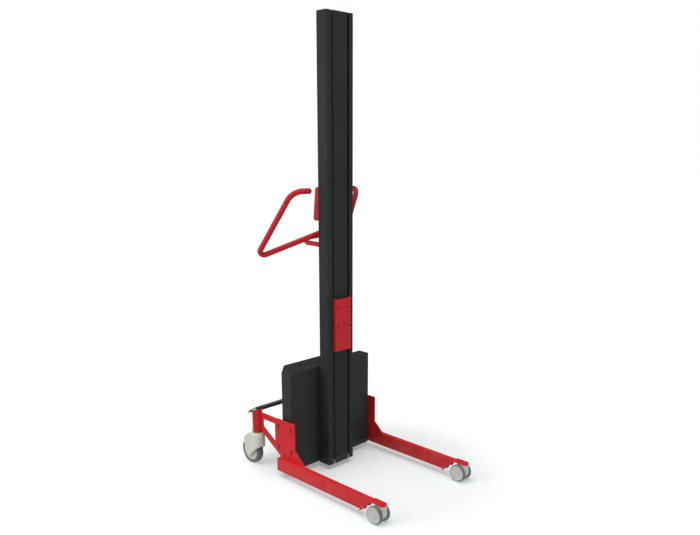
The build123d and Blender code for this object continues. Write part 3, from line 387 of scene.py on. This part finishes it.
def rounded(profile, radii, steps=5):
    """Profile corners rounded by tangent arcs; radii 0 keeps a corner."""
    out = []
    n = len(profile)
    for i, p in enumerate(profile):
        r = radii[i]
        if r <= 0 or i == 0 or i == n - 1:
            out.append(p)
            continue
        p, a, b = Vector(p), Vector(profile[i - 1]), Vector(profile[i + 1])
        u, v = (a - p).normalized(), (b - p).normalized()
        half = math.acos(max(-1, min(1, u.dot(v)))) / 2
        t = min(r / math.tan(half), 0.49 * (a - p).length, 0.49 * (b - p).length)
        rr = t * math.tan(half)
        c = p + (u + v).normalized() * (rr / math.sin(half))
        s, e = p + u * t, p + v * t
        a0, a1 = math.atan2(s.y - c.y, s.x - c.x), math.atan2(e.y - c.y, e.x - c.x)
        while a1 - a0 > math.pi:
            a1 -= 2 * math.pi
        while a1 - a0 < -math.pi:
            a1 += 2 * math.pi
        for j in range(steps + 1):
            w = a0 + (a1 - a0) * j / steps
            out.append((c.x + rr * math.cos(w), c.y + rr * math.sin(w)))
    return out


def lathe_x(profile, x, d, z, sign=1, segs=96):
    """Closed surface of revolution about an X axis. profile: (radius, offset along X), from axis to axis or a closed ring."""
    verts, faces = [], []
    ring = []
    for r, o in profile:
        if r < 1e-6:
            ring.append([len(verts)])
            verts.append(at(x + sign * o, d, z))
        else:
            idx = []
            for i in range(segs):
                w = 2 * math.pi * i / segs
                idx.append(len(verts))
                verts.append(at(x + sign * o, d + r * math.cos(w), z + r * math.sin(w)))
            ring.append(idx)
    closed = profile[0][0] > 1e-6
    pairs = list(zip(range(len(ring)), range(1, len(ring))))
    if closed:
        pairs.append((len(ring) - 1, 0))
    for a, b in pairs:
        ra, rb = ring[a], ring[b]
        if len(ra) == 1 and len(rb) == 1:
            continue
        for i in range(segs):
            j = (i + 1) % segs
            if len(ra) == 1:
                faces.append((ra[0], rb[i], rb[j]))
            elif len(rb) == 1:
                faces.append((ra[i], ra[j], rb[0]))
            else:
                faces.append((ra[i], ra[j], rb[j], rb[i]))
    return verts, faces


def surface_net(func, lo, hi, h):
    """Closed mesh of func = 0 (negative inside), on a grid of step h, its points drawn onto the surface."""
    lo, hi = np.array(lo, float), np.array(hi, float)
    n = np.ceil((hi - lo) / h).astype(int) + 1
    ax = [lo[i] + h * np.arange(n[i]) for i in range(3)]
    X, Y, Z = np.meshgrid(*ax, indexing="ij")
    f = func(X, Y, Z)
    inside = f < 0
    c = np.zeros((n[0] - 1, n[1] - 1, n[2] - 1), int)
    for dx in (0, 1):
        for dy in (0, 1):
            for dz in (0, 1):
                c += inside[dx:n[0] - 1 + dx, dy:n[1] - 1 + dy, dz:n[2] - 1 + dz]
    mixed = (c > 0) & (c < 8)
    cells = np.argwhere(mixed)
    index = -np.ones(mixed.shape, int)
    index[mixed] = np.arange(len(cells))
    total = np.zeros((len(cells), 3))
    count = np.zeros(len(cells))
    corners = [(a, b, d) for a in (0, 1) for b in (0, 1) for d in (0, 1)]
    for a in corners:
        for b in corners:
            if sum(abs(p - q) for p, q in zip(a, b)) != 1 or a > b:
                continue
            ia, ib = cells + np.array(a), cells + np.array(b)
            fa, fb = f[ia[:, 0], ia[:, 1], ia[:, 2]], f[ib[:, 0], ib[:, 1], ib[:, 2]]
            cross = (fa < 0) != (fb < 0)
            t = np.where(cross, fa / np.where(cross, fa - fb, 1.0), 0.0)
            p = ia + (ib - ia) * t[:, None]
            total += np.where(cross[:, None], p, 0.0)
            count += cross
    v = lo + h * total / count[:, None]
    faces = []
    for k in range(3):
        u, w = (k + 1) % 3, (k + 2) % 3
        sl_a = [slice(None)] * 3
        sl_b = [slice(None)] * 3
        sl_a[k], sl_b[k] = slice(0, -1), slice(1, None)
        change = inside[tuple(sl_a)] != inside[tuple(sl_b)]
        e = np.argwhere(change)
        ok = (e[:, u] > 0) & (e[:, w] > 0) & (e[:, u] < n[u] - 1) & (e[:, w] < n[w] - 1)
        e = e[ok]
        q = []
        for du, dw in ((-1, -1), (0, -1), (0, 0), (-1, 0)):
            g = e.copy()
            g[:, u] += du
            g[:, w] += dw
            q.append(index[g[:, 0], g[:, 1], g[:, 2]])
        q = np.stack(q, 1)
        flip = ~inside[e[:, 0], e[:, 1], e[:, 2]]
        q[flip] = q[flip][:, ::-1]
        faces.append(q)
    faces = np.concatenate(faces)
    eps = 0.05 * h
    for _ in range(4):
        val = func(v[:, 0], v[:, 1], v[:, 2])
        g = np.stack([(func(v[:, 0] + eps * (i == 0), v[:, 1] + eps * (i == 1), v[:, 2] + eps * (i == 2)) - val) / eps
                      for i in range(3)], 1)
        g2 = np.maximum((g * g).sum(1), 0.05)
        step = np.clip(val / g2, -0.6 * h, 0.6 * h)
        v = v - g * step[:, None] * 0.9
    return v, faces


def smin(a, b, k):
    t = np.clip(0.5 + 0.5 * (b - a) / k, 0, 1)
    return b + (a - b) * t - k * t * (1 - t)


def smax(a, b, k):
    return -smin(-a, -b, k)


def round_join(a, b, r):
    """Intersection of two distances, its edge rounded by r."""
    a, b = a + r, b + r
    return np.minimum(np.maximum(a, b), 0) + np.hypot(np.maximum(a, 0), np.maximum(b, 0)) - r


def polygon(u, v, p):
    """Signed distance to a polygon."""
    p = np.array(p, float)
    d = (u - p[0][0]) ** 2 + (v - p[0][1]) ** 2
    s = np.ones_like(u)
    j = len(p) - 1
    for i in range(len(p)):
        ex, ey = p[j] - p[i]
        wx, wy = u - p[i][0], v - p[i][1]
        t = np.clip((wx * ex + wy * ey) / (ex * ex + ey * ey), 0, 1)
        d = np.minimum(d, (wx - ex * t) ** 2 + (wy - ey * t) ** 2)
        c1, c2, c3 = v >= p[i][1], v < p[j][1], ex * wy > ey * wx
        flip = (c1 & c2 & c3) | (~c1 & ~c2 & ~c3)
        s = np.where(flip, -s, s)
        j = i
    return s * np.sqrt(d)


# ---------------------------------------------------------------------------
# Rear castors: moulded hood, tyre, hub
# ---------------------------------------------------------------------------
RC_X, RC_D, RC_AX, RC_R = 256.0, 282.0, 322.0, 60.0


def hood_distance(x, y, z):
    """Hood in castor coordinates: x across, y back from the swivel axis, z up."""
    r = np.hypot(x, y)
    ay = RC_AX - RC_D
    barrel = round_join(r - 32.0, np.abs(z - 105.0) - 46.5, 3.0)
    circle = np.hypot(y - ay, z - RC_R) - 65.5
    body = polygon(y, z, [(0, 60), (0, 152.5), (22, 152.5), (50, 143), (66, 130), (78, 117.5), (79, 104), (74, 86), (ay, 60)])
    side = smin(circle, body, 4.0)
    fender = round_join(side, np.abs(x) - 24.0, 6.0)
    shape = smin(fender, barrel, 8.0)
    cut = polygon(y, z, [(-60, 131), (-40, 113), (-21.5, 89.5), (-10, 81), (9, 65.3), (23, 51.2), (35, 39.5), (ay + 3, 35), (ay + 16, 44), (66, 62), (72, 86), (77, 100), (81, 170), (160, 170), (160, -40), (-60, -40)])
    shape = smax(shape, -cut, 1.5)
    collar = round_join(r - 28.5, np.abs(z - 149.5) - 10.0, 1.6)
    shape = smin(shape, collar, 1.0)
    well = round_join(np.hypot(y - ay, z - RC_R) - 62.5, np.abs(x) - 17.0, 3.0)
    shape = smax(shape, -well, 1.5)
    bore = np.maximum(r - 15.3, 137.5 - z)
    shape = smax(shape, -bore, 0.8)
    return shape


hood_v, hood_f = surface_net(hood_distance, (-36, -37, 26), (36, 86, 164), 1.5)
for side, sg in (("left", -1), ("right", 1)):
    verts = [at(sg * RC_X + p[0], RC_D + p[1], p[2]) for p in hood_v]
    ob = new_object("rear_castor_cover_" + side, verts, hood_f.tolist(), M_HOOD, 40)
    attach(ob, "rear_castor_" + side)
    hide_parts("rear_castor_hood_" + side)

    # tyre: crowned tread with soft shoulders, seated on the hub
    prof = [(45.2, -13.6), (48.0, -15.2), (52.4, -16.0), (56.8, -14.8), (59.1, -11.6), (59.85, -6.0), (60.0, 0.0)]
    prof = prof + [(r, -o) for r, o in prof[-2::-1]]
    v, f = lathe_x(prof, sg * RC_X, RC_AX, RC_R, 1, 128)
    ob = new_object("rear_tread_" + side, v, f, M_TYRE, 50)
    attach(ob, "rear_wheel_" + side)
    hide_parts("rear_tyre_" + side)

    # hub: rim band, dished web with a ring step, centre boss
    half = [(5.2, 16.0), (12.6, 16.0), (14.0, 15.2), (14.6, 12.0), (17.5, 10.8), (31.0, 10.8), (34.0, 12.4), (39.0, 12.6),
            (41.0, 14.4), (44.2, 14.6), (45.0, 13.8)]
    prof = half + [(r, -o) for r, o in half[::-1]]
    v, f = lathe_x(prof, sg * RC_X, RC_AX, RC_R, 1, 96)
    ob = new_object("rear_wheel_core_" + side, v, f, M_PALE, 40)
    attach(ob, "rear_wheel_" + side)
    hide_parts("rear_hub_" + side)

    # axle, its ends just below the faces of the hood
    v, f = lathe_x([(0.0, -21.5), (5.0, -21.5), (5.0, 21.5), (0.0, 21.5)], sg * RC_X, RC_AX, RC_R, 1, 48)
    ob = new_object("rear_axle_pin_" + side, v, f, M_PALE, 40)
    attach(ob, "rear_castor_" + side)
    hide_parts("rear_axle_" + side)

# ---------------------------------------------------------------------------
# Front twin castors: moulded body, four wheels
# ---------------------------------------------------------------------------
FC_X, FC_D, FC_AX, FC_R = 264.0, -493.0, -472.0, 37.5


def twin_distance(x, y, z):
    ay = FC_AX - FC_D
    circle = np.hypot(y - ay, z - FC_R) - 31.8
    neck = polygon(y, z, [(-13, 42), (-13, 78.3), (13, 78.3), (ay + 13, 68), (ay, 37.5)])
    side = smin(circle, neck, 6.0)
    shape = round_join(side, np.abs(x) - 13.0, 2.6)
    shape = smax(shape, 29.5 - z, 2.0)
    seat = round_join(np.hypot(x, y) - 10.6, np.abs(z - 70.6) - 8.6, 1.0)
    shape = smin(shape, seat, 2.0)
    stem = np.maximum(np.hypot(x, y) - 5.4, np.abs(z - 77.3) - 6.9)
    shape = np.minimum(shape, stem)
    axle = np.maximum(np.hypot(y - ay, z - FC_R) - 3.9, np.abs(x) - 24.0)
    return np.minimum(shape, axle)


twin_v, twin_f = surface_net(twin_distance, (-27, -20, 3), (27, 60, 91), 1.2)
for side, sg in (("left", -1), ("right", 1)):
    verts = [at(sg * FC_X + p[0], FC_D + p[1], p[2]) for p in twin_v]
    ob = new_object("front_castor_housing_" + side, verts, twin_f.tolist(), M_HOOD, 40)
    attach(ob, "front_castor_" + side)
    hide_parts("front_castor_body_" + side)
    for which, out in (("outer", sg), ("inner", -sg)):
        body = "front_wheel_%s_%s" % (side, which)
        prof = [(33.3, 14.8), (35.0, 14.2), (36.7, 15.6), (37.35, 18.0), (37.5, 21.5), (37.35, 25.0), (36.6, 27.5), (35.0, 28.8), (33.3, 28.4)]
        v, f = lathe_x(prof, sg * FC_X, FC_AX, FC_R, out, 96)
        ob = new_object("front_tread_%s_%s" % (side, which), v, f, M_TWIN, 50)
        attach(ob, body)
        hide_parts("front_tyre_%s_%s" % (side, which))
        prof = [(0.0, 27.9), (7.6, 27.8), (8.4, 27.3), (9.0, 26.9), (21.5, 26.7), (23.5, 27.1), (26.6, 29.2), (28.0, 29.8), (30.6, 30.0), (32.3, 29.6), (33.2, 28.6),
                (33.2, 14.8), (12.0, 14.8), (4.3, 14.8), (4.3, 25.6), (0.0, 25.6)]
        v, f = lathe_x(prof, sg * FC_X, FC_AX, FC_R, out, 96)
        ob = new_object("front_wheel_face_%s_%s" % (side, which), v, f, M_PALE, 40)
        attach(ob, body)
        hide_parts("front_disc_%s_%s" % (side, which))

# ---------------------------------------------------------------------------
# Small parts: socket screws, weld beads, slot plugs, controls
# ---------------------------------------------------------------------------
def lathe(profile, origin, axis, segs=48):
    """Surface of revolution about any axis, from axis to axis; a third value in a profile point makes that ring a hexagon."""
    axis = Vector(axis).normalized()
    u = axis.orthogonal().normalized()
    w = axis.cross(u)
    verts, faces, ring = [], [], []
    for point in profile:
        r, o = point[0], point[1]
        c = origin + axis * (o / 1000.0)
        if r < 1e-6:
            ring.append([len(verts)])
            verts.append(c)
            continue
        idx = []
        for i in range(segs):
            t = 2 * math.pi * i / segs
            rr = r
            if len(point) > 2:
                rr = r * math.cos(math.pi / 6) / math.cos((t % (math.pi / 3)) - math.pi / 6)
            idx.append(len(verts))
            verts.append(c + (u * math.cos(t) + w * math.sin(t)) * (rr / 1000.0))
        ring.append(idx)
    for ra, rb in zip(ring, ring[1:]):
        for i in range(segs):
            j = (i + 1) % segs
            if len(ra) == 1:
                faces.append((ra[0], rb[i], rb[j]))
            elif len(rb) == 1:
                faces.append((ra[i], ra[j], rb[0]))
            else:
                faces.append((ra[i], ra[j], rb[j], rb[i]))
    return verts, faces


def lathe_y_ring(x, z, d, profile, segs=64):
    """Closed ring about a Y axis; profile of (radius, offset back)."""
    verts, faces = [], []
    m = len(profile)
    for i in range(segs):
        t = 2 * math.pi * i / segs
        for r, o in profile:
            verts.append(at(x + r * math.cos(t), d + o, z + r * math.sin(t)))
    for i in range(segs):
        a, b = i * m, ((i + 1) % segs) * m
        for j in range(m):
            k = (j + 1) % m
            faces.append((a + j, a + k, b + k, b + j))
    return verts, faces


def merged(parts):
    verts, faces = [], []
    for v, f in parts:
        k = len(verts)
        verts += list(v)
        faces += [tuple(i + k for i in face) for face in f]
    return verts, faces


def bead(path, radius, seed=0.0, closed=False, segs=10, pitch=2.6):
    """Weld bead along a path of points (x, d, z): overlapping ripples, thinner at both ends."""
    pts = [at(*q) for q in path]
    if closed:
        pts.append(pts[0])
    dense = []
    for a, b in zip(pts, pts[1:]):
        n = max(1, int((b - a).length * 1000 / (pitch / 4)))
        dense += [a.lerp(b, i / n) for i in range(n)]
    if not closed:
        dense.append(pts[-1])
    m = len(dense)
    verts, faces = [], []
    run = 0.0
    ref = None
    for i, q in enumerate(dense):
        before = dense[i - 1] if (i or closed) else dense[i]
        after = dense[(i + 1) % m] if (i < m - 1 or closed) else dense[i]
        axis = (after - before).normalized()
        if ref is None:
            ref = axis.orthogonal().normalized()
        u = (ref - axis * ref.dot(axis)).normalized()
        ref = u
        w = axis.cross(u)
        run += (q - dense[i - 1]).length * 1000 if i else 0.0
        r = radius * (1.0 + 0.10 * math.sin(2 * math.pi * run / pitch) + 0.07 * math.sin(run / 5.3 + seed) + 0.05 * math.sin(run / 2.1 + 2 * seed))
        if not closed:
            r *= max(0.12, min(1.0, (i + 0.3) / 6, (m - 1 - i + 0.3) / 6)) ** 0.5
        for j in range(segs):
            t = 2 * math.pi * j / segs
            verts.append(q + (u * math.cos(t) + w * math.sin(t)) * (r / 1000.0))
    last = m if closed else m - 1
    for i in range(last):
        a, b = i * segs, ((i + 1) % m) * segs
        for j in range(segs):
            k = (j + 1) % segs
            faces.append((a + j, a + k, b + k, b + j))
    if not closed:
        faces.append(tuple(range(segs)))
        faces.append(tuple((m - 1) * segs + j for j in range(segs)))
    return verts, faces


def chamfered_box(x0, x1, d0, d1, z0, z1, bevel):
    bm = bmesh.new()
    bmesh.ops.create_cube(bm, size=1.0)
    lo, hi = at(x0, d0, z0), at(x1, d1, z1)
    for v in bm.verts:
        v.co = Vector([(lo[i] + hi[i]) / 2 + v.co[i] * (hi[i] - lo[i]) for i in range(3)])
    bmesh.ops.bevel(bm, geom=list(bm.edges), offset=bevel / 1000.0, segments=2, affect="EDGES", profile=0.5)
    bm.verts.index_update()
    out = [v.co.copy() for v in bm.verts], [tuple(v.index for v in f.verts) for f in bm.faces]
    bm.free()
    return out


def socket_screw(origin, axis, r, h, hexa, depth, shank, length):
    return lathe([(0.0, h - depth), (hexa, h - depth, 6), (hexa, h, 6), (r - 0.9, h), (r - 0.25, h - 0.25), (r, h - 0.9), (r, 0.25),
                  (r - 0.25, 0.0), (shank, 0.0), (shank, -length), (0.0, -length)], origin, axis)


# screws in the slanted leg ends, castor clamp screws, mast bolts
screws = []
cut = Vector((-63.88, 59.0)).normalized()
cut_axis = (0.0, -cut.y, cut.x)
for sg in (-1, 1):
    for z in (41.0, 63.0):
        base = at(sg * 264.0, -383.12 - (z - 26.5) * 63.88 / 59.0, z) + Vector(cut_axis) * 0.004
        screws.append(socket_screw(base, cut_axis, 6.8, 4.4, 3.1, 2.4, 3.9, 11.0))
    screws.append(socket_screw(at(sg * 278.6, 282.0, 180.0), (sg, 0, 0), 6.5, 5.4, 3.2, 3.0, 3.9, 4.6))
    for z in (120.0, 330.0, 425.0):
        screws.append(socket_screw(at(sg * 55.0, 73.2, z), (0, 1, 0), 6.5, 5.5, 3.2, 3.2, 3.9, 21.0))
ob = new_object("socket_screws", *merged(screws), M_SCREW, 32)
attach(ob, "base")
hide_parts("frame_screws")

# painted weld beads: side plate on the leg, socket tube on the side plate
beads = []
for sg in (-1, 1):
    beads.append(bead([(sg * 254.7, -27.0, 85.7), (sg * 254.7, 119.0, 85.7)], 1.7, 0.4 + sg))
    beads.append(bead([(sg * 254.6, 259.5, 168.0), (sg * 254.6, 259.5, 255.0)], 1.5, 1.7 + sg))
    beads.append(bead([(sg * 248.4, 260.6, 168.0), (sg * 248.4, 260.6, 255.0)], 1.5, 2.9 + sg))
ob = new_object("weld_beads", *merged(beads), M_LEG, 60)
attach(ob, "base")

# grey stops that close the two mast slots at the foot; their mid grey is painted shade, standing in for the shaded
# floor seen through the slot ends
ob = new_object("slot_shade_stops", *merged([chamfered_box(sg * 44.5 - 3.5, sg * 44.5 + 3.5, 0.5, 9.0, 27.4, 41.0, 0.8) for sg in (-1, 1)]), M_STOP, 30)
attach(ob, "base")

# front slots of the side plates: closed flush on the inside by red backs; the anthracite sheets outboard of them are
# painted shade, so each slot reads dark from outside
slots = [(sg, z) for sg in (-1, 1) for z in (125.5, 225.5)]
ob = new_object("slot_backs", *merged([chamfered_box(min(sg * 248.6, sg * 250.1), max(sg * 248.6, sg * 250.1), 47.45, 55.55, z - 10.55, z + 10.55, 0.2) for sg, z in slots]), M_LEG, 30)
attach(ob, "base")
ob = new_object("slot_shade_sheets", *merged([chamfered_box(min(sg * 250.1, sg * 251.6), max(sg * 250.1, sg * 251.6), 47.45, 55.55, z - 10.55, z + 10.55, 0.2) for sg, z in slots]), M_DARK, 30)
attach(ob, "base")

# black sleeves over the brake bar, between the sockets and the foot plate
k = Mat("bar_sleeve_black")
geo = k.n("ShaderNodeNewGeometry")
up = k.n("ShaderNodeSeparateXYZ", Vector=geo.outputs["Normal"]).outputs["Z"]
cloud = k.noise(60.0, 4.0, 0.6)
# painted highlight: faces turned upward are lightened towards grey, standing in for the highlight along the top of the
# bar
top_highlight = k.math("MULTIPLY", k.ramp(up, 0.45, 0.95), k.math("ADD", 0.85, k.math("MULTIPLY", cloud, 0.3)))
k.set(Base_Color=k.mix(top_highlight, (0.034, 0.034, 0.036), (0.150, 0.150, 0.152)), Roughness=0.46, Specular_IOR_Level=0.7)
M_SLEEVE = k.m
prof = [(10.1, -231.5), (10.6, -231.5), (11.0, -231.1), (11.0, -51.4), (10.6, -51.0), (10.1, -51.0)]
ob = new_object("bar_sleeves", *merged([lathe_x(prof, 0.0, 282.0, 267.0, sg, 64) for sg in (1, -1)]), M_SLEEVE, 40)
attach(ob, "brake_bar")

# black sheet behind the vent slot in the front cover: painted shade, so the slot reads dark
ob = new_object("vent_shade_sheet", *chamfered_box(164.0, 220.0, 66.6, 67.6, 54.0, 71.0, 0.3), M_BLACK, 30)
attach(ob, "base")

# stop button with a crowned head, and its collar on the panel
prof = [(0.0, -16.0), (8.0, -16.0), (8.0, 8.0), (17.2, 8.0), (18.5, 8.5), (19.0, 9.8), (18.8, 12.4), (17.6, 15.2), (14.6, 17.6), (9.6, 19.2), (4.8, 19.8), (0.0, 20.0)]
ob = new_object("stop_mushroom", *lathe(prof, at(22.0, 102.0, 1180.0), (0, 1, 0), 64), M_BUTTON, 40)
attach(ob, "stop_button")
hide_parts("stop_button")
ob = new_object("stop_collar", *lathe_y_ring(22.0, 1180.0, 102.0, [(8.6, 1.8), (8.6, 3.0), (9.2, 3.6), (13.6, 3.6), (15.0, 2.6), (15.2, 1.8)]), M_BLACK, 40)
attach(ob, "base")

# up and down marks on the rocker
marks = []
for sg in (-1, 1):
    tri = [(-5.0, 8.0), (5.0, 8.0), (0.0, 16.0)]
    v = [at(-21.0 + x, 105.5 + 2.5 * t / 22.0 - 0.2, 1165.0 + sg * t) for x, t in tri]
    v += [at(-21.0 + x * 0.94, 105.5 + 2.5 * t / 22.0 + 0.35, 1165.0 + sg * t) for x, t in tri]
    marks.append((v, [(0, 1, 2), (3, 4, 5), (0, 1, 4, 3), (1, 2, 5, 4), (2, 0, 3, 5)]))
ob = new_object("rocker_marks", *merged(marks), M_GUIDE, 30)
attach(ob, "lift_rocker")

# ---------------------------------------------------------------------------
# Floor, light, camera
# ---------------------------------------------------------------------------
def floor_material():
    """Matt white paper mixed with a white glow: the glow rises to plain white away from the object and stays at about a
    quarter near it, lifting its shadows; more glow on the outer side of the near leg lifts the shade there, and a cyan
    tint beside the legs cancels the red light they bounce onto the paper.
    """
    k = Mat("floor_paper")
    cloud = k.noise(2.0, 3.0, 0.6)
    sep = k.n("ShaderNodeSeparateXYZ", Vector=k.obj)
    beside = k.math("ABSOLUTE", k.math("SUBTRACT", k.math("ABSOLUTE", sep.outputs["X"]), 0.265))
    along = k.math("ABSOLUTE", k.math("ADD", sep.outputs["Y"], 0.11))
    # painted light: beside the legs the paper is tinted cyan to cancel the red light the legs bounce onto it
    red_bounce_cancel = k.math("MULTIPLY", k.ramp(beside, 0.03, 0.16, 1.0, 0.0), k.ramp(along, 0.28, 0.40, 1.0, 0.0))
    paper = k.mix(cloud, (0.925, 0.948, 0.948), (0.932, 0.955, 0.955))
    # painted light: on the outer side of the near leg the glow is raised by up to 0.2, lifting the shade there
    shadow_lift = k.math("MULTIPLY", red_bounce_cancel, k.ramp(sep.outputs["X"], -0.30, -0.27, 0.20, 0.0))
    k.set(Base_Color=k.mix(red_bounce_cancel, paper, (0.805, 0.950, 0.950)), Roughness=0.9, Specular_IOR_Level=0.02)
    dx = k.math("SUBTRACT", sep.outputs["X"], 0.05)
    dy = k.math("SUBTRACT", sep.outputs["Y"], -0.05)
    r = k.math("SQRT", k.math("ADD", k.math("MULTIPLY", dx, dx), k.math("MULTIPLY", dy, dy)))
    far = k.ramp(r, 0.28, 0.82)
    path = k.n("ShaderNodeLightPath")
    glow = k.n("ShaderNodeEmission")
    glow.inputs["Color"].default_value = (1, 1, 1, 1)
    k.put(glow.inputs["Strength"], k.ramp(path.outputs["Is Camera Ray"], 0.0, 1.0, FLOOR_GLOW, 1.06))
    both = k.n("ShaderNodeMixShader")
    k.put(both.inputs[0], k.math("MAXIMUM", far, k.math("ADD", shadow_lift, 0.26)))
    k.put(both.inputs[1], k.b.outputs["BSDF"])
    k.put(both.inputs[2], glow.outputs[0])
    k.t.links.new(both.outputs[0], k.out.inputs["Surface"])
    return k.m


FLOOR_GLOW = 0.62
me = bpy.data.meshes.new("floor")
S = 40.0
me.from_pydata([(-S, -S, 0), (S, -S, 0), (S, S, 0), (-S, S, 0)], [], [(0, 1, 2, 3)])
floor = bpy.data.objects.new("floor", me)
scene.collection.objects.link(floor)
floor.data.materials.append(floor_material())

world = bpy.data.worlds.new("studio")
scene.world = world
world.use_nodes = True
wt = world.node_tree
wt.nodes.clear()
wo = wt.nodes.new("ShaderNodeOutputWorld")
mixw = wt.nodes.new("ShaderNodeMixShader")
seen = wt.nodes.new("ShaderNodeBackground")
seen.inputs["Color"].default_value = (1, 1, 1, 1)
seen.inputs["Strength"].default_value = 1.0
amb = wt.nodes.new("ShaderNodeBackground")
amb.inputs["Color"].default_value = (0.985, 0.99, 1.0, 1)
amb.inputs["Strength"].default_value = 0.10
lp = wt.nodes.new("ShaderNodeLightPath")
wt.links.new(lp.outputs["Is Camera Ray"], mixw.inputs[0])
wt.links.new(amb.outputs[0], mixw.inputs[1])
wt.links.new(seen.outputs[0], mixw.inputs[2])
wt.links.new(mixw.outputs[0], wo.inputs["Surface"])


def softbox(name, place, target, size, power, colour=(1, 1, 1)):
    li = bpy.data.lights.new(name, "AREA")
    li.shape = "RECTANGLE"
    li.size, li.size_y = size
    li.energy = power
    li.color = colour
    ob = bpy.data.objects.new(name, li)
    ob.location = place
    ob.rotation_euler = (Vector(target) - Vector(place)).to_track_quat("-Z", "Y").to_euler()
    ob.visible_camera = False
    scene.collection.objects.link(ob)
    return ob


softbox("top_box", (-0.6, -0.2, 5.2), (0, 0, 0.3), (6.0, 6.0), 285.0)
softbox("left_box", (-2.5, 1.15, 1.35), (0, 0, 0.45), (1.9, 1.9), 31.0)
softbox("front_box", (-0.8, -5.2, 2.4), (0, 0, 0.8), (3.0, 3.0), 44.0)
softbox("back_box", (-1.4, 5.4, 2.8), (0, 0, 0.8), (3.0, 3.0), 26.0)

scene.view_settings.view_transform = "Standard"
scene.view_settings.look = "None"
scene.view_settings.exposure = 0.0
scene.view_settings.gamma = 1.0

cam = bpy.data.cameras.new("camera")
cam.sensor_fit = "HORIZONTAL"
cam.sensor_width = 36.0
cam.lens = 726.84 / 700.0 * 36.0
cam.shift_x = 0.0
cam.shift_y = 0.1047
cam.clip_start, cam.clip_end = 0.05, 200.0
cam_ob = bpy.data.objects.new("camera", cam)
cam_ob.location = (-2.14559, -2.12415, 1.40743)
cam_ob.rotation_euler = (math.radians(75.067), 0.0, math.radians(-45.115))
scene.collection.objects.link(cam_ob)
scene.camera = cam_ob
